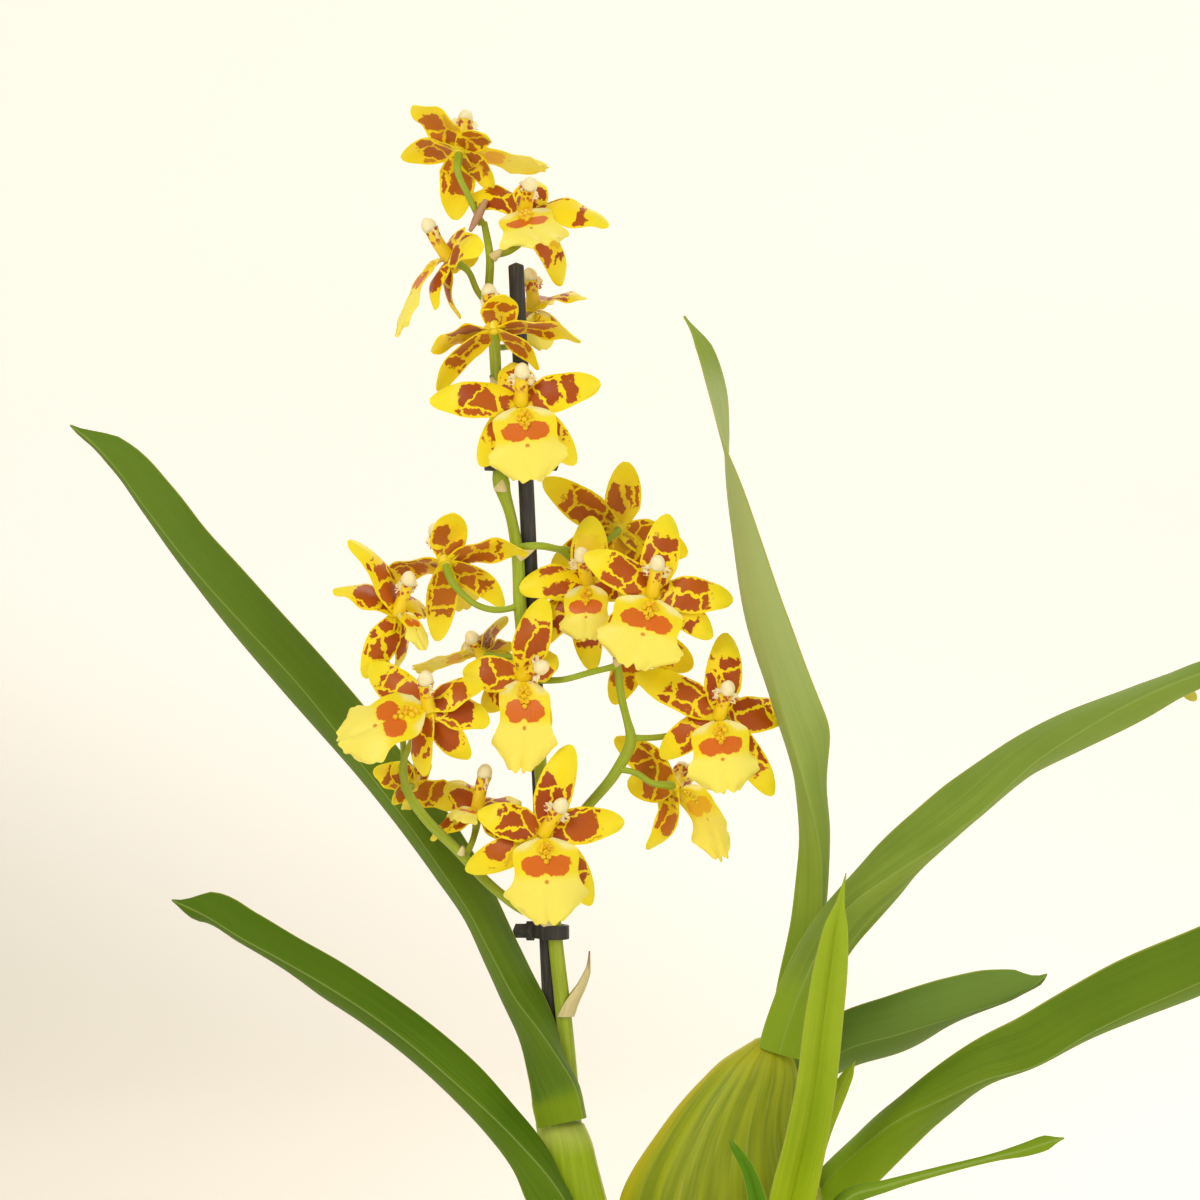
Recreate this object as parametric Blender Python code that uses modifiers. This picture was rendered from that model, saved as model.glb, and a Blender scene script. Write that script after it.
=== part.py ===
"""A potted oncidium: two growths with their leaves, a branched flower spike tied to a stake, and the pot.

Metres, +Z up. The origin is the centre of the pot's flat base, +X is the viewer's right and +Y is away
from the viewer. A place on the plant is given as SEEN: its point in the 1200 x 1200 picture and its
depth in millimetres behind the plane of the pot's axis, which seen() turns into a point in space.
"""

import math
from typing import NamedTuple

import bmesh
import bpy
import numpy as np
from mathutils import Vector

MM = 0.001
GAP = 0.35 * MM

# The view of the picture: a level eye in front of the plant
PIXEL = 0.34 * MM
EYE_DISTANCE = 1.3
POT_AXIS_PX = 690
PICTURE_CENTRE = 600
PICTURE_CENTRE_HEIGHT = 0.355
MEDIUM_ROW = 1300

# Pot and filling
POT_HEIGHT = 110 * MM
POT_RIM_RADIUS = 66 * MM
POT_RIM_BAND = 14 * MM
POT_TOP_RADIUS = 63 * MM
POT_FOOT_RADIUS = 48 * MM
POT_WALL = 1.8 * MM
POT_FLOOR = 3 * MM
DRAIN_HOLES = 6
DRAIN_RADIUS = 5 * MM
DRAIN_RING = 30 * MM
MEDIUM_TOP = 100 * MM
FOOT_REACH = 30 * MM
ROUND_STEPS = 32

# Stake and clips
STAKE_RADIUS = 2.65 * MM
STAKE_TOP = (516, 265, -10.4)
STAKE_LOW = (547, 940, 9.9)
STAKE_BURIED = 50 * MM
CLIP_WALL = 1.6 * MM
CLIP_HEIGHTS = {"clip_upper": 3.2 * MM, "clip_lower": 4.8 * MM}
CLIP_PICTURE_Y = {"clip_upper": 466, "clip_lower": 932}
CLIP_TAB_LENGTH = 6.6 * MM
CLIP_TAB_THICKNESS = 2.2 * MM
CLIP_TAB_SIDE = {"clip_upper": 1, "clip_lower": -1}

# Leaves and flowers
LEAF_THICKNESS = 1.2 * MM
LEAF_SECTIONS = 15
TEPAL_THICKNESS = 0.6 * MM
LIP_THICKNESS = 0.7 * MM
PETAL_WIDTH = 11.5 * MM
SEPAL_WIDTH = 10.5 * MM
HUB_RADIUS = 2 * MM
COLUMN_FOOT_RADIUS = 1.3 * MM
COLUMN_HEAD_RADIUS = 1.9 * MM
STALK_RADIUS = 1.15 * MM
BUD_RADIUS = 2.1 * MM
BUD_LENGTH = 6.5 * MM
BRACT_THICKNESS = 0.5 * MM


class Flower(NamedTuple):
    """One flower, read off the picture. Depths other than the hub's are counted from the hub."""

    name: str
    hub: tuple
    face: tuple
    dorsal: tuple
    petals: tuple
    sepals: tuple
    cap: tuple
    lip: tuple
    lip_width: float
    stalk: tuple


# Spike rows: picture x, picture y, depth, radius in millimetres
SPIKE = (
    (484, 222, -6, 1.1), (490, 258, -5, 1.4), (489, 290, -5, 1.45), (493, 345, -5, 1.5),
    (496, 383, -5, 1.8), (497, 430, -5, 1.9), (499, 470, -5, 2.1), (501, 482, -5, 3.0),
    (504, 494, -5, 2.4), (508, 506, -5, 2.0), (517, 550, -5, 2.1), (520, 608, -5, 2.2),
    (527, 670, -4, 2.2), (538, 745, -2, 2.2), (546, 830, 1, 2.3), (552, 890, 3.5, 2.4),
    (555, 935, 5, 2.5), (562, 1000, 7.5, 2.7), (567, 1050, 9.5, 2.8), (573, 1120, 12, 2.9),
    (578, 1200, 15, 3.0), (582, 1270, 17, 3.1), (584, 1339, 18, 3.2),
)
BRANCH_LEFT = (
    (552, 922, 4.5, 1.7), (535, 915, 1, 1.7), (520, 908, -2, 1.7), (502, 895, -4, 1.7),
    (485, 880, -5, 1.7), (457, 850, -7, 1.7), (425, 818, -9, 1.7), (412, 800, -10, 1.6),
    (406, 788, -10, 1.5),
)
BRANCH_RIGHT = (
    (548, 850, 2, 1.7), (586, 808, 4, 1.7), (617, 770, 4, 1.9), (631, 738, 3, 1.9),
    (627, 720, 2.5, 1.4), (622, 700, 2, 1.4), (617, 660, 1, 1.3),
)
BRANCH_TOP = (
    (518, 548, -5, 1.4), (529, 546, -8, 1.3), (542, 546, -6.5, 1.3), (558, 549, -1, 1.2),
    (575, 551, 4, 1.2),
)
ABORTED_BUD = ((470, 231, -10, 0.7), (478, 216, -9, 1.5), (486, 200, -10, 0.9))

FLOWERS = (
    Flower("a", (459, 151, -4), (0.15, 0.55, 0.82), (402, 157, 8), ((414, 104, -14), (455, 219, 12)),
           ((486, 133, -16), (494, 188, 2)), (465, 120, 3), ((497, 157, 10), (548, 168, 12)), 11,
           ((482, 224, -6), (468, 195, -9), (458, 172, -9))),
    Flower("b", (525, 212, -10), (0.05, -0.75, 0.65), (536, 180, 8), ((466, 195, 11), (609, 223, 2)),
           ((503, 247, 12), (563, 285, 8)), (530, 187, -7), ((524, 222, -10), (544, 243, -18)), 24,
           ((492, 256, -5), (510, 251, -2), (525, 238, -1), (529, 223, -4))),
    Flower("c", (449, 258, -12), (-0.8, -0.35, 0.45), (462, 228, 8), ((481, 248, -21), (474, 262, 16)),
           ((434, 309, -6), (458, 319, 6)), (431, 228, -3), ((413, 274, -2), (396, 336, -4)), 13,
           ((486, 303, -5), (478, 292, -6), (468, 271, -7))),
    Flower("d", (494, 330, -24), (0.05, 0.35, 0.93), (504, 294, -10), ((431, 350, 4), (581, 339, 0)),
           ((436, 389, 6), (540, 368, 0)), (489, 295, 2), ((498, 325, 9), (503, 340, 12)), 11,
           ((497, 384, -5), (498, 366, -11), (497, 349, -16))),
    Flower("e", (534, 308, 3), (0.0, -0.3, 0.95), (540, 300, 20), ((484, 318, 8), (586, 297, -6)),
           ((512, 330, 12), (562, 335, 10)), (530, 279, -1), ((540, 326, -3), (544, 350, -3)), 12,
           ((493, 348, -4), (512, 345, 2), (530, 325, 5))),
    Flower("f", (521, 403, -24), (0.05, -0.97, 0.2), (512, 362, 11), ((430, 400, -1), (600, 382, 0)),
           ((480, 466, 4), (576, 464, 4)), (522, 373, -6), ((527, 432, -8), (531, 482, -6)), 27,
           ((498, 425, -6), (508, 418, -12), (519, 406, -18))),
    Flower("g", (618, 529, 16), (0.0, 0.95, 0.2), (626, 462, 2), ((544, 479, 0), (687, 554, 4)),
           ((552, 565, 2), (648, 588, 6)), (618, 518, 9), ((622, 545, 10), (626, 575, 14)), 20,
           ((575, 551, 4), (598, 546, 5), (616, 533, 9))),
    Flower("h", (587, 583, -3), (-0.1, -0.95, 0.25), (591, 516, 2), ((520, 588, -6), (630, 586, 4)),
           ((536, 648, -2), (592, 672, 6)), (582, 557, -6), ((585, 611, -13), (587, 640, -9)), 19,
           ((560, 549, -0.5), (578, 566, 3), (587, 580, 4))),
    Flower("i", (652, 594, -16), (0.1, -0.95, 0.25), (668, 514, 4), ((585, 554, -2), (733, 599, 2)),
           ((602, 643, 0), (713, 637, 4)), (657, 565, -6), ((648, 622, -8), (632, 668, -7)), 30,
           ((617, 662, 1), (636, 628, -5), (650, 600, -9))),
    Flower("j", (719, 716, -4), (0.1, -0.95, 0.25), (726, 633, 2), ((636, 674, 0), (790, 711, 10)),
           ((660, 757, 4), (774, 795, 4)), (727, 690, -6), ((720, 748, -8), (728, 793, -6)), 25,
           ((630, 738, 3), (660, 737, 5), (695, 728, 6), (714, 719, 4))),
    Flower("k", (675, 786, 8), (0.6, 0.5, -0.1), (616, 737, 2), ((628, 784, 6), (694, 774, 16)),
           ((649, 850, -2), (660, 806, 16)), (680, 769, 8), ((706, 800, 0), (725, 860, 2)), 18,
           ((617, 769, 4), (636, 773, 2), (652, 783, 1), (665, 785, 3))),
    Flower("l", (445, 563, -10), (-0.1, 0.6, 0.8), (453, 512, -12), ((377, 586, 15), (527, 551, 0)),
           ((437, 640, 10), (504, 605, 8)), (436, 534, 3), ((456, 586, 12), (462, 610, 20)), 14,
           ((520, 606, -5), (498, 610, -9), (475, 604, -14), (453, 583, -16))),
    Flower("m", (397, 614, -8), (0.5, -0.55, 0.65), (351, 539, -4), ((334, 588, 2), (424, 604, 15)),
           ((365, 678, 0), (398, 670, 8)), (407, 582, -4), ((416, 620, -8), (424, 650, -9)), 10,
           ((405, 790, -10), (403, 742, -9), (398, 702, -8), (393, 674, -7), (381, 652, -4),
            (387, 630, -2))),
    Flower("n", (522, 676, -12), (-0.1, -0.95, 0.3), (544, 598, 1), ((463, 671, 0), (557, 656, 4)),
           ((482, 709, 3), (546, 736, 4)), (541, 668, -8), ((528, 712, -8), (520, 773, -6)), 22,
           ((617, 666, 1), (592, 672, -5), (560, 680, -6), (530, 679, -6))),
    Flower("o", (429, 709, -22), (-0.55, -0.7, 0.4), (482, 682, 2), ((369, 664, 10.5), (490, 721, 3)),
           ((422, 776, 3), (468, 760, 7)), (427, 681, -5), ((385, 719, -12), (338, 742, -5)), 27,
           ((406, 788, -10), (402, 770, -11), (410, 745, -12), (425, 716, -14))),
    Flower("p", (477, 815, -2), (-0.15, -0.45, 0.88), (481, 800, 18), ((449, 781, 8), (520, 800, 6)),
           ((430, 838, 2), (505, 842, 4)), (485, 775, -5), ((468, 808, -7), (455, 820, -10)), 13,
           ((464, 858, -6), (471, 845, -3), (476, 828, 0))),
    Flower("q", (544, 833, -16), (0.1, -0.95, 0.25), (571, 745, 2), ((478, 813, -1), (624, 821, 2)),
           ((465, 870, 5), (592, 905, 4)), (560, 807, -7), ((547, 866, -8), (548, 925, -6)), 28,
           ((547, 846, 1), (546, 841, -6), (545, 836, -10))),
    Flower("r", (482, 655, 6), (-0.5, 0.3, 0.6), (506, 616, 2), ((512, 648, 8), (466, 640, 10)),
           ((514, 670, 8), (490, 690, 6)), (474, 641, -2), ((452, 657, -3), (412, 668, -5)), 10,
           ((524, 655, -3), (508, 657, 1), (492, 656, 3))),
    Flower("t", (640, 645, 14), (0.0, 0.9, 0.2), (668, 606, 6), ((693, 666, 2), (602, 628, 4)),
           ((613, 704, -3), (676, 645, 6)), (638, 640, 9), ((648, 660, 9), (650, 667, 13)), 10,
           ((617, 664, 1), (628, 656, 4), (637, 648, 8))),
    Flower("v", (411, 787, 4), (-0.2, 0.6, 0.5), (395, 762, -2), ((374, 770, 2), (455, 806, 10)),
           ((392, 803, -3), (430, 762, 5)), (419, 771, 5), ((411, 797, 8), (418, 806, 14)), 10,
           ((406, 789, -10), (408, 788, -5), (410, 787, 0))),
)

# Leaf rows, foot first: picture x, picture y, depth, half width, roll, fold.
# Roll turns the blade about its midrib. Fold bends both halves back from the midrib, both in degrees.
LEAVES = {
    "leaf_left_tall": (
        (582.5, 1119, -13.1, 16, -40, 52), (575, 1088, -12, 16, -40, 51), (559, 1060, -10.5, 15.5, -28, 61),
        (541, 1033, -8.5, 15, -12, 62), (516, 1000, -4.8, 14.5, 4, 61), (492, 956, 3.5, 14.5, 10, 62),
        (469, 912, 11, 14.5, 14, 62), (440, 868, 17.5, 15, 18, 56), (410, 826, 22, 15.2, 20, 53),
        (368, 772, 26, 15.2, 20, 52), (292, 677, 29, 14.5, 14, 49), (254, 636, 29, 14.5, 16, 50),
        (210, 588, 28, 14.2, 21, 51), (178, 550, 27, 13, 25, 51), (146, 508, 25, 12, 33, 47),
        (114, 465, 23, 9.6, 34, 46), (90, 440, 22, 5.5, 30, 40), (70, 425, 21, 1.2, 10, 10),
    ),
    "leaf_left_low": (
        (592, 1338, -24, 7, -20, 52), (588, 1285, -25, 9, -25, 53), (578, 1235, -25.5, 11, -28, 54),
        (564, 1200, -25.5, 12.3, -28, 54), (552, 1182, -25, 12.3, -27, 52), (524, 1149, -22, 11, -8, 52),
        (499, 1123, -20, 10.5, 0, 51), (458, 1085, -18, 10.7, 12, 47), (400, 1036, -16, 11, 12, 50),
        (370, 1014, -15, 11, 11, 51), (325, 985, -15, 11, 12, 51), (280, 959, -14, 10.5, 18, 54),
        (240, 937, -13, 10.2, 26, 50), (205, 915, -12, 8.6, 30, 39), (172, 900, -11, 1.2, 0, 10),
    ),
    "leaf_twisted": (
        (782, 1037, 2, 6, 0, 35), (794, 1010, 4, 8, -15, 45), (808, 975, 7, 11, -24, 58),
        (820, 930, 8, 12.5, -24, 62), (822, 890, 6, 12.5, -16, 63), (819, 846, 2, 12.5, -2, 65),
        (806, 790, -5, 13, 16, 64), (783, 710, -14, 13.5, 50, 30), (758, 620, -18, 13.5, 60, 15),
        (741, 540, -20, 12, 70, 10), (730, 475, -20, 11, 84, 4), (724, 430, -20, 9.5, 102, 0),
        (716, 385, -19, 8, 115, 0), (703, 345, -17, 5.5, 120, 0), (684, 316, -16, 1.2, 125, 0),
    ),
    "leaf_arching": (
        (779, 1054, -8.0, 7.2, 0, 8), (788, 1025, -9.0, 8.5, 3, 30), (803, 985, -10, 11, 8, 45),
        (822, 945, -11.5, 14, 12, 54), (846, 910, -13, 15.5, 14, 57), (894, 874, -14, 16, -3, 57),
        (943, 842, -11, 16, -22, 57), (980, 813, -6, 16, -29, 58), (1033, 764, 2, 14.5, -15, 60),
        (1082, 731, 8, 13.5, -3, 58), (1147, 695, 13, 11, 12, 58), (1188, 678, 15, 8, 10, 56),
        (1246, 660, 18, 1.2, 0, 10),
    ),
    "leaf_short": (
        (775, 1338, 19, 8, 0, 45), (780, 1250, 21, 9, 0, 45), (790, 1160, 21, 10, 0, 45),
        (804, 1100, 19, 11, -5, 44), (822, 1064, 18, 12, -9, 43), (841, 1052, 17, 13, -11, 42),
        (902, 1033, 14, 14, -18, 40), (963, 1014, 11, 13.5, -32, 48), (1008, 999, 9, 11, -37, 48),
        (1034, 985, 8, 6, -30, 40), (1047, 974, 7, 1.2, 0, 10),
    ),
    "leaf_long": (
        (806, 1338, 13, 8, 0, 45), (808, 1270, 13, 10, 10, 48), (817, 1197, 10, 14, 30, 50),
        (862, 1148, 3, 14, 28, 51), (894, 1123, -3, 14.5, 18, 56), (943, 1099, -6, 15, -3, 58),
        (984, 1080, -7, 15.5, -17, 58), (1033, 1066, -5, 16.8, -37, 51), (1090, 1033, -1, 17, -30, 49),
        (1139, 1009, 2, 18, -27, 46), (1200, 982, 6, 18, -23, 45), (1285, 940, 12, 15, -20, 42),
        (1345, 908, 16, 8.5, -10, 34), (1378, 890, 18, 1.2, 0, 10),
    ),
    "leaf_thin": (
        (818, 1338, -14, 4, 0, 40), (824, 1262, -15, 5, 0, 45), (850, 1197, -17, 4.2, 10, 45),
        (885, 1186, -17, 3, 10, 50), (940, 1171, -16, 1.9, 5, 45), (1000, 1156, -15, 1.8, 5, 40),
        (1028, 1149, -14, 2.6, 5, 30), (1046, 1143, -14, 2.8, 5, 30), (1064, 1138, -13, 1.0, 0, 10),
    ),
    "leaf_young": (
        (770, 1338, -20, 7.5, 0, -30), (779, 1270, -22, 8.8, 0, -35), (791, 1200, -23, 9.4, 0, -35),
        (805, 1140, -24, 8.6, 0, -35), (816, 1080, -24, 8.1, 0, -35), (823, 1020, -23, 7.8, 0, -35),
        (831, 960, -22, 6.6, 0, -35), (836, 925, -21.5, 4.4, 0, -30), (840, 903, -21, 1.6, 0, -20),
        (846, 873, -20, 0.7, 0, 0),
    ),
    "leaf_small_light": (
        (790, 1338, -12, 4, 0, 25), (795, 1260, -15, 5, 0, 30), (803, 1190, -17, 5.5, 0, 30),
        (816, 1140, -18, 5, 0, 30), (836, 1098, -17, 3.5, 0, 30), (855, 1061, -16, 0.9, 0, 0),
    ),
    "leaf_small_front": (
        (750, 1338, -27, 4, 0, -25), (758, 1270, -29, 4.4, 0, -30), (757, 1200, -30, 3.6, 0, -30),
        (748, 1170, -29, 2.4, 0, -25), (729, 1139, -28, 0.8, 0, 0),
    ),
}

# Bulb rows, foot first: picture x, picture y, half width, half depth
BULB_LARGE = (
    (716, 1341, 22, 11), (714, 1300, 28, 14), (717, 1250, 32.5, 15.5), (721, 1200, 34, 16),
    (730, 1131, 24, 13), (743, 1094, 18.7, 11), (751, 1077, 16, 10), (758, 1060, 12.3, 8.5),
    (764, 1048, 8, 6.5), (767, 1041, 5, 5),
)
BULB_SMALL = (
    (586, 1341, 12, 9), (584, 1290, 13, 9.5), (578, 1230, 12.5, 9), (573, 1196, 11.2, 8.5),
    (569, 1165, 9.8, 7.8), (565, 1140, 9, 7.2), (560, 1124, 8.3, 6.6),
)
BULB_SMALL_DEPTH = -3

BRACT_PLACE = ((563.6, 1016, 8.2), (568.5, 1001, 7.8), (577, 984, 8), (588, 951, 8))
YOUNG_SPIKE = (
    (768, 1338, 32, 1.9), (775, 1200, 33, 1.8), (786, 1090, 33, 1.7), (806, 1000, 30, 1.6),
    (850, 910, 30, 1.5), (915, 848, 31, 1.4), (985, 792, 34, 1.4), (1060, 748, 37, 1.3),
    (1130, 714, 40, 1.2), (1190, 689, 43, 1.1), (1235, 668, 44, 1.0), (1268, 652, 45, 0.9),
)
BUDS = (
    ((1140, 708, 40), (1151, 682, 38)), ((1152, 704, 40), (1166, 675, 42)),
    ((1176, 695, 42), (1190, 668, 40)), ((1186, 691, 43), (1196, 700, 39)),
    ((1212, 679, 44), (1224, 651, 47)), ((1228, 671, 44), (1243, 690, 40)),
    ((1250, 661, 44), (1264, 634, 42)), ((1268, 652, 45), (1290, 642, 46)),
)

COLOURS = {
    "pot": ((0.30, 0.12, 0.06), 0.6), "medium": ((0.13, 0.07, 0.04), 0.95),
    "bulb": ((0.42, 0.48, 0.06), 0.45), "leaf": ((0.08, 0.20, 0.03), 0.45),
    "young_leaf": ((0.26, 0.45, 0.05), 0.45), "stem": ((0.28, 0.36, 0.05), 0.5),
    "bract": ((0.50, 0.36, 0.20), 0.8), "tepal": ((0.75, 0.36, 0.02), 0.5),
    "lip": ((0.93, 0.75, 0.05), 0.5), "plastic": ((0.03, 0.025, 0.022), 0.5),
    "bud": ((0.60, 0.62, 0.05), 0.5),
}


def seen(px, py, depth):
    """The point in space behind a picture point, at a depth in millimetres."""
    spread = PIXEL * (1 + depth * MM / EYE_DISTANCE)
    eye_x = (PICTURE_CENTRE - POT_AXIS_PX) * PIXEL
    return Vector((
        eye_x + (px - PICTURE_CENTRE) * spread,
        depth * MM,
        PICTURE_CENTRE_HEIGHT + (PICTURE_CENTRE - py) * spread,
    ))


def smooth_rows(rows, count):
    """Rows read at even steps from a smooth curve through the given rows."""
    rows = np.array(rows, float)
    gaps = np.linalg.norm(np.diff(rows[:, :3], axis=0), axis=1)
    places = np.concatenate([[0], np.cumsum(gaps)]) / gaps.sum()
    slopes = np.gradient(rows, places, axis=0)
    found = []
    for place in np.linspace(0, 1, count):
        i = min(int(np.searchsorted(places, place, side="right")) - 1, len(rows) - 2)
        span = places[i + 1] - places[i]
        t = (place - places[i]) / span
        found.append(
            (2 * t**3 - 3 * t**2 + 1) * rows[i] + (t**3 - 2 * t**2 + t) * span * slopes[i]
            + (3 * t**2 - 2 * t**3) * rows[i + 1] + (t**3 - t**2) * span * slopes[i + 1]
        )
    return found


def clear_scene():
    for obj in list(bpy.data.objects):
        bpy.data.objects.remove(obj, do_unlink=True)


def new_collection(name):
    collection = bpy.data.collections.new(name)
    bpy.context.scene.collection.children.link(collection)
    return collection


def finish_of(slot):
    """The plain material of a finish, made once."""
    material = bpy.data.materials.get(slot)
    if material is None:
        colour, roughness = COLOURS[slot]
        material = bpy.data.materials.new(slot)
        material.use_nodes = True
        shader = material.node_tree.nodes["Principled BSDF"]
        shader.inputs["Base Color"].default_value = (*colour, 1)
        shader.inputs["Roughness"].default_value = roughness
        shader.inputs["Metallic"].default_value = 0
    return material


def add_part(name, mesh, slot):
    """A part of the plant or its holder, in the parts' collection."""
    obj = bpy.data.objects.new(name, mesh)
    mesh.name = name
    mesh.materials.clear()
    mesh.materials.append(finish_of(slot))
    bpy.data.collections["oncidium"].objects.link(obj)
    return obj


def add_cutter(name, mesh):
    obj = bpy.data.objects.new(name, mesh)
    obj.hide_render = True
    obj.display_type = "WIRE"
    bpy.data.collections["cutters"].objects.link(obj)
    return obj


def mesh_from(bm, name):
    mesh = bpy.data.meshes.new(name)
    bm.to_mesh(mesh)
    bm.free()
    return mesh


def evaluated_mesh(obj):
    """The mesh of an object with its modifiers, in world space. The object is removed."""
    graph = bpy.context.evaluated_depsgraph_get()
    mesh = bpy.data.meshes.new_from_object(obj.evaluated_get(graph), depsgraph=graph)
    mesh.transform(obj.matrix_world)
    bpy.data.objects.remove(obj, do_unlink=True)
    return mesh


def sheet_mesh(name, columns, rows, place, thickness):
    """A curved sheet of even thickness. place(u, v) puts its grid, u across and v along, both 0 to 1."""
    bm = bmesh.new()
    bmesh.ops.create_grid(bm, x_segments=columns, y_segments=rows, size=0.5)
    for vertex in bm.verts:
        vertex.co = place(vertex.co.x + 0.5, vertex.co.y + 0.5)
    obj = add_cutter(name, mesh_from(bm, name))
    solidify = obj.modifiers.new("thickness", "SOLIDIFY")
    solidify.thickness = thickness
    solidify.offset = 0
    return evaluated_mesh(obj)


def stood_mesh(mesh):
    """A mesh whose foot is drawn up or down until it just stands on the potting medium."""
    lowest = min(vertex.co.z for vertex in mesh.vertices)
    move = MEDIUM_TOP + GAP - lowest
    for vertex in mesh.vertices:
        vertex.co.z += move * max(0, 1 - (vertex.co.z - lowest) / FOOT_REACH)
    return mesh


def tube_mesh(name, points, radii):
    """A closed round tube through the points."""
    curve = bpy.data.curves.new(name, "CURVE")
    curve.dimensions = "3D"
    curve.bevel_depth = 1
    curve.bevel_resolution = 1
    curve.use_fill_caps = True
    spline = curve.splines.new("POLY")
    spline.points.add(len(points) - 1)
    for node, point, radius in zip(spline.points, points, radii):
        node.co = (*point, 1)
        node.radius = radius
    obj = bpy.data.objects.new(name, curve)
    bpy.data.collections["cutters"].objects.link(obj)
    bpy.context.view_layer.update()
    mesh = evaluated_mesh(obj)
    bm = bmesh.new()
    bm.from_mesh(mesh)
    bmesh.ops.remove_doubles(bm, verts=bm.verts, dist=0.001 * MM)
    bm.to_mesh(mesh)
    bm.free()
    return mesh


def route_mesh(name, rows, count):
    """A tube along rows of picture x, picture y, depth and radius."""
    found = smooth_rows(rows, count)
    return tube_mesh(name, [seen(*row[:3]) for row in found], [row[3] * MM for row in found])


def fused_mesh(name, meshes):
    """One closed body made of several that touch or cross."""
    pieces = bpy.data.collections.new(name + "_pieces")
    bpy.data.collections["cutters"].children.link(pieces)
    for index, mesh in enumerate(meshes[1:]):
        piece = bpy.data.objects.new(f"{name}_piece_{index}", mesh)
        piece.hide_render = True
        piece.display_type = "WIRE"
        pieces.objects.link(piece)
    body = add_cutter(name + "_body", meshes[0])
    union = body.modifiers.new("fuse", "BOOLEAN")
    union.operation = "UNION"
    union.operand_type = "COLLECTION"
    union.collection = pieces
    bpy.context.view_layer.update()
    mesh = evaluated_mesh(body)
    for piece in list(pieces.objects):
        bpy.data.objects.remove(piece, do_unlink=True)
    bpy.data.collections.remove(pieces)
    return mesh


def turned_mesh(name, profile):
    """A profile in x and z turned about the vertical axis."""
    bm = bmesh.new()
    nodes = [bm.verts.new((x, 0, z)) for x, z in profile]
    for first, second in zip(nodes, nodes[1:]):
        bm.edges.new((first, second))
    obj = add_cutter(name, mesh_from(bm, name))
    screw = obj.modifiers.new("turn", "SCREW")
    screw.steps = ROUND_STEPS
    screw.render_steps = ROUND_STEPS
    screw.use_merge_vertices = True
    screw.merge_threshold = 0.00001
    return evaluated_mesh(obj)


def cylinder_mesh(name, start, end, radius, segments=16):
    """A closed cylinder between two points."""
    bm = bmesh.new()
    run = end - start
    bmesh.ops.create_cone(bm, cap_ends=True, segments=segments, radius1=radius, radius2=radius,
                          depth=run.length)
    turn = Vector((0, 0, 1)).rotation_difference(run).to_matrix().to_4x4()
    bmesh.ops.transform(bm, matrix=turn, verts=bm.verts)
    bmesh.ops.translate(bm, vec=(start + end) / 2, verts=bm.verts)
    return mesh_from(bm, name)


def stake_point(height):
    """The stake's centre at a height above the pot's base."""
    top, low = seen(*STAKE_TOP), seen(*STAKE_LOW)
    return top + (low - top) * ((height - top.z) / (low.z - top.z))


def build_pot():
    step = POT_HEIGHT - POT_RIM_BAND
    slope = (POT_TOP_RADIUS - POT_FOOT_RADIUS) / POT_HEIGHT
    band_radius = POT_FOOT_RADIUS + slope * step
    profile = [
        (0, POT_FLOOR), (POT_FOOT_RADIUS - POT_WALL, POT_FLOOR),
        (band_radius - POT_WALL, step), (POT_RIM_RADIUS - POT_WALL, step + POT_WALL),
        (POT_RIM_RADIUS - POT_WALL, POT_HEIGHT), (POT_RIM_RADIUS, POT_HEIGHT),
        (POT_RIM_RADIUS, step), (band_radius, step - POT_WALL), (POT_FOOT_RADIUS, 0), (0, 0),
    ]
    pot = add_part("pot", turned_mesh("pot_wall", profile), "pot")
    holes = []
    for index in range(DRAIN_HOLES):
        angle = math.tau * index / DRAIN_HOLES
        centre = Vector((math.cos(angle), math.sin(angle), 0)) * DRAIN_RING
        low, high = centre - Vector((0, 0, POT_FLOOR)), centre + Vector((0, 0, 2 * POT_FLOOR))
        holes.append(cylinder_mesh("drain", low, high, DRAIN_RADIUS))
    for index, mesh in enumerate(holes):
        cut = pot.modifiers.new(f"drain_{index}", "BOOLEAN")
        cut.object = add_cutter(f"drain_{index}", mesh)
    return pot


def build_medium():
    step = POT_HEIGHT - POT_RIM_BAND
    slope = (POT_TOP_RADIUS - POT_FOOT_RADIUS) / POT_HEIGHT
    foot = POT_FOOT_RADIUS - POT_WALL - 2 * GAP
    shoulder = POT_FOOT_RADIUS + slope * step - POT_WALL - 2 * GAP
    rim = POT_RIM_RADIUS - POT_WALL - GAP
    floor = POT_FLOOR + GAP
    edge = step + POT_WALL + 2 * GAP
    profile = [
        (0, MEDIUM_TOP), (rim, MEDIUM_TOP), (rim, edge), (shoulder, step), (foot, floor), (0, floor),
    ]
    medium = add_part("potting_medium", turned_mesh("medium", profile), "medium")
    low = stake_point(MEDIUM_TOP - STAKE_BURIED) - Vector((0, 0, GAP))
    high = stake_point(POT_HEIGHT + POT_RIM_BAND)
    socket = add_cutter("stake_socket", cylinder_mesh("socket", low, high, STAKE_RADIUS + GAP))
    cut = medium.modifiers.new("stake_socket", "BOOLEAN")
    cut.object = socket
    return medium


def build_stake():
    top = seen(*STAKE_TOP)
    low = stake_point(MEDIUM_TOP - STAKE_BURIED)
    return add_part("stake", cylinder_mesh("stake", low, top, STAKE_RADIUS), "plastic")


def spike_centre(py):
    """The spike's centre and radius at a picture height."""
    rows = np.array(SPIKE, float)
    row = [np.interp(py, rows[:, 1], rows[:, column]) for column in range(4)]
    return seen(*row[:3]), row[3] * MM


def band_points(first, second, reach, z):
    """A loop at one height round two centres, reach away from both."""
    run = (second - first).to_2d()
    heading = math.atan2(run.y, run.x)
    points = []
    for centre, start in ((second, heading - math.pi / 2), (first, heading + math.pi / 2)):
        for step in range(9):
            angle = start + math.pi * step / 8
            points.append(Vector((
                centre.x + reach * math.cos(angle), centre.y + reach * math.sin(angle), z
            )))
    return points


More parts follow.
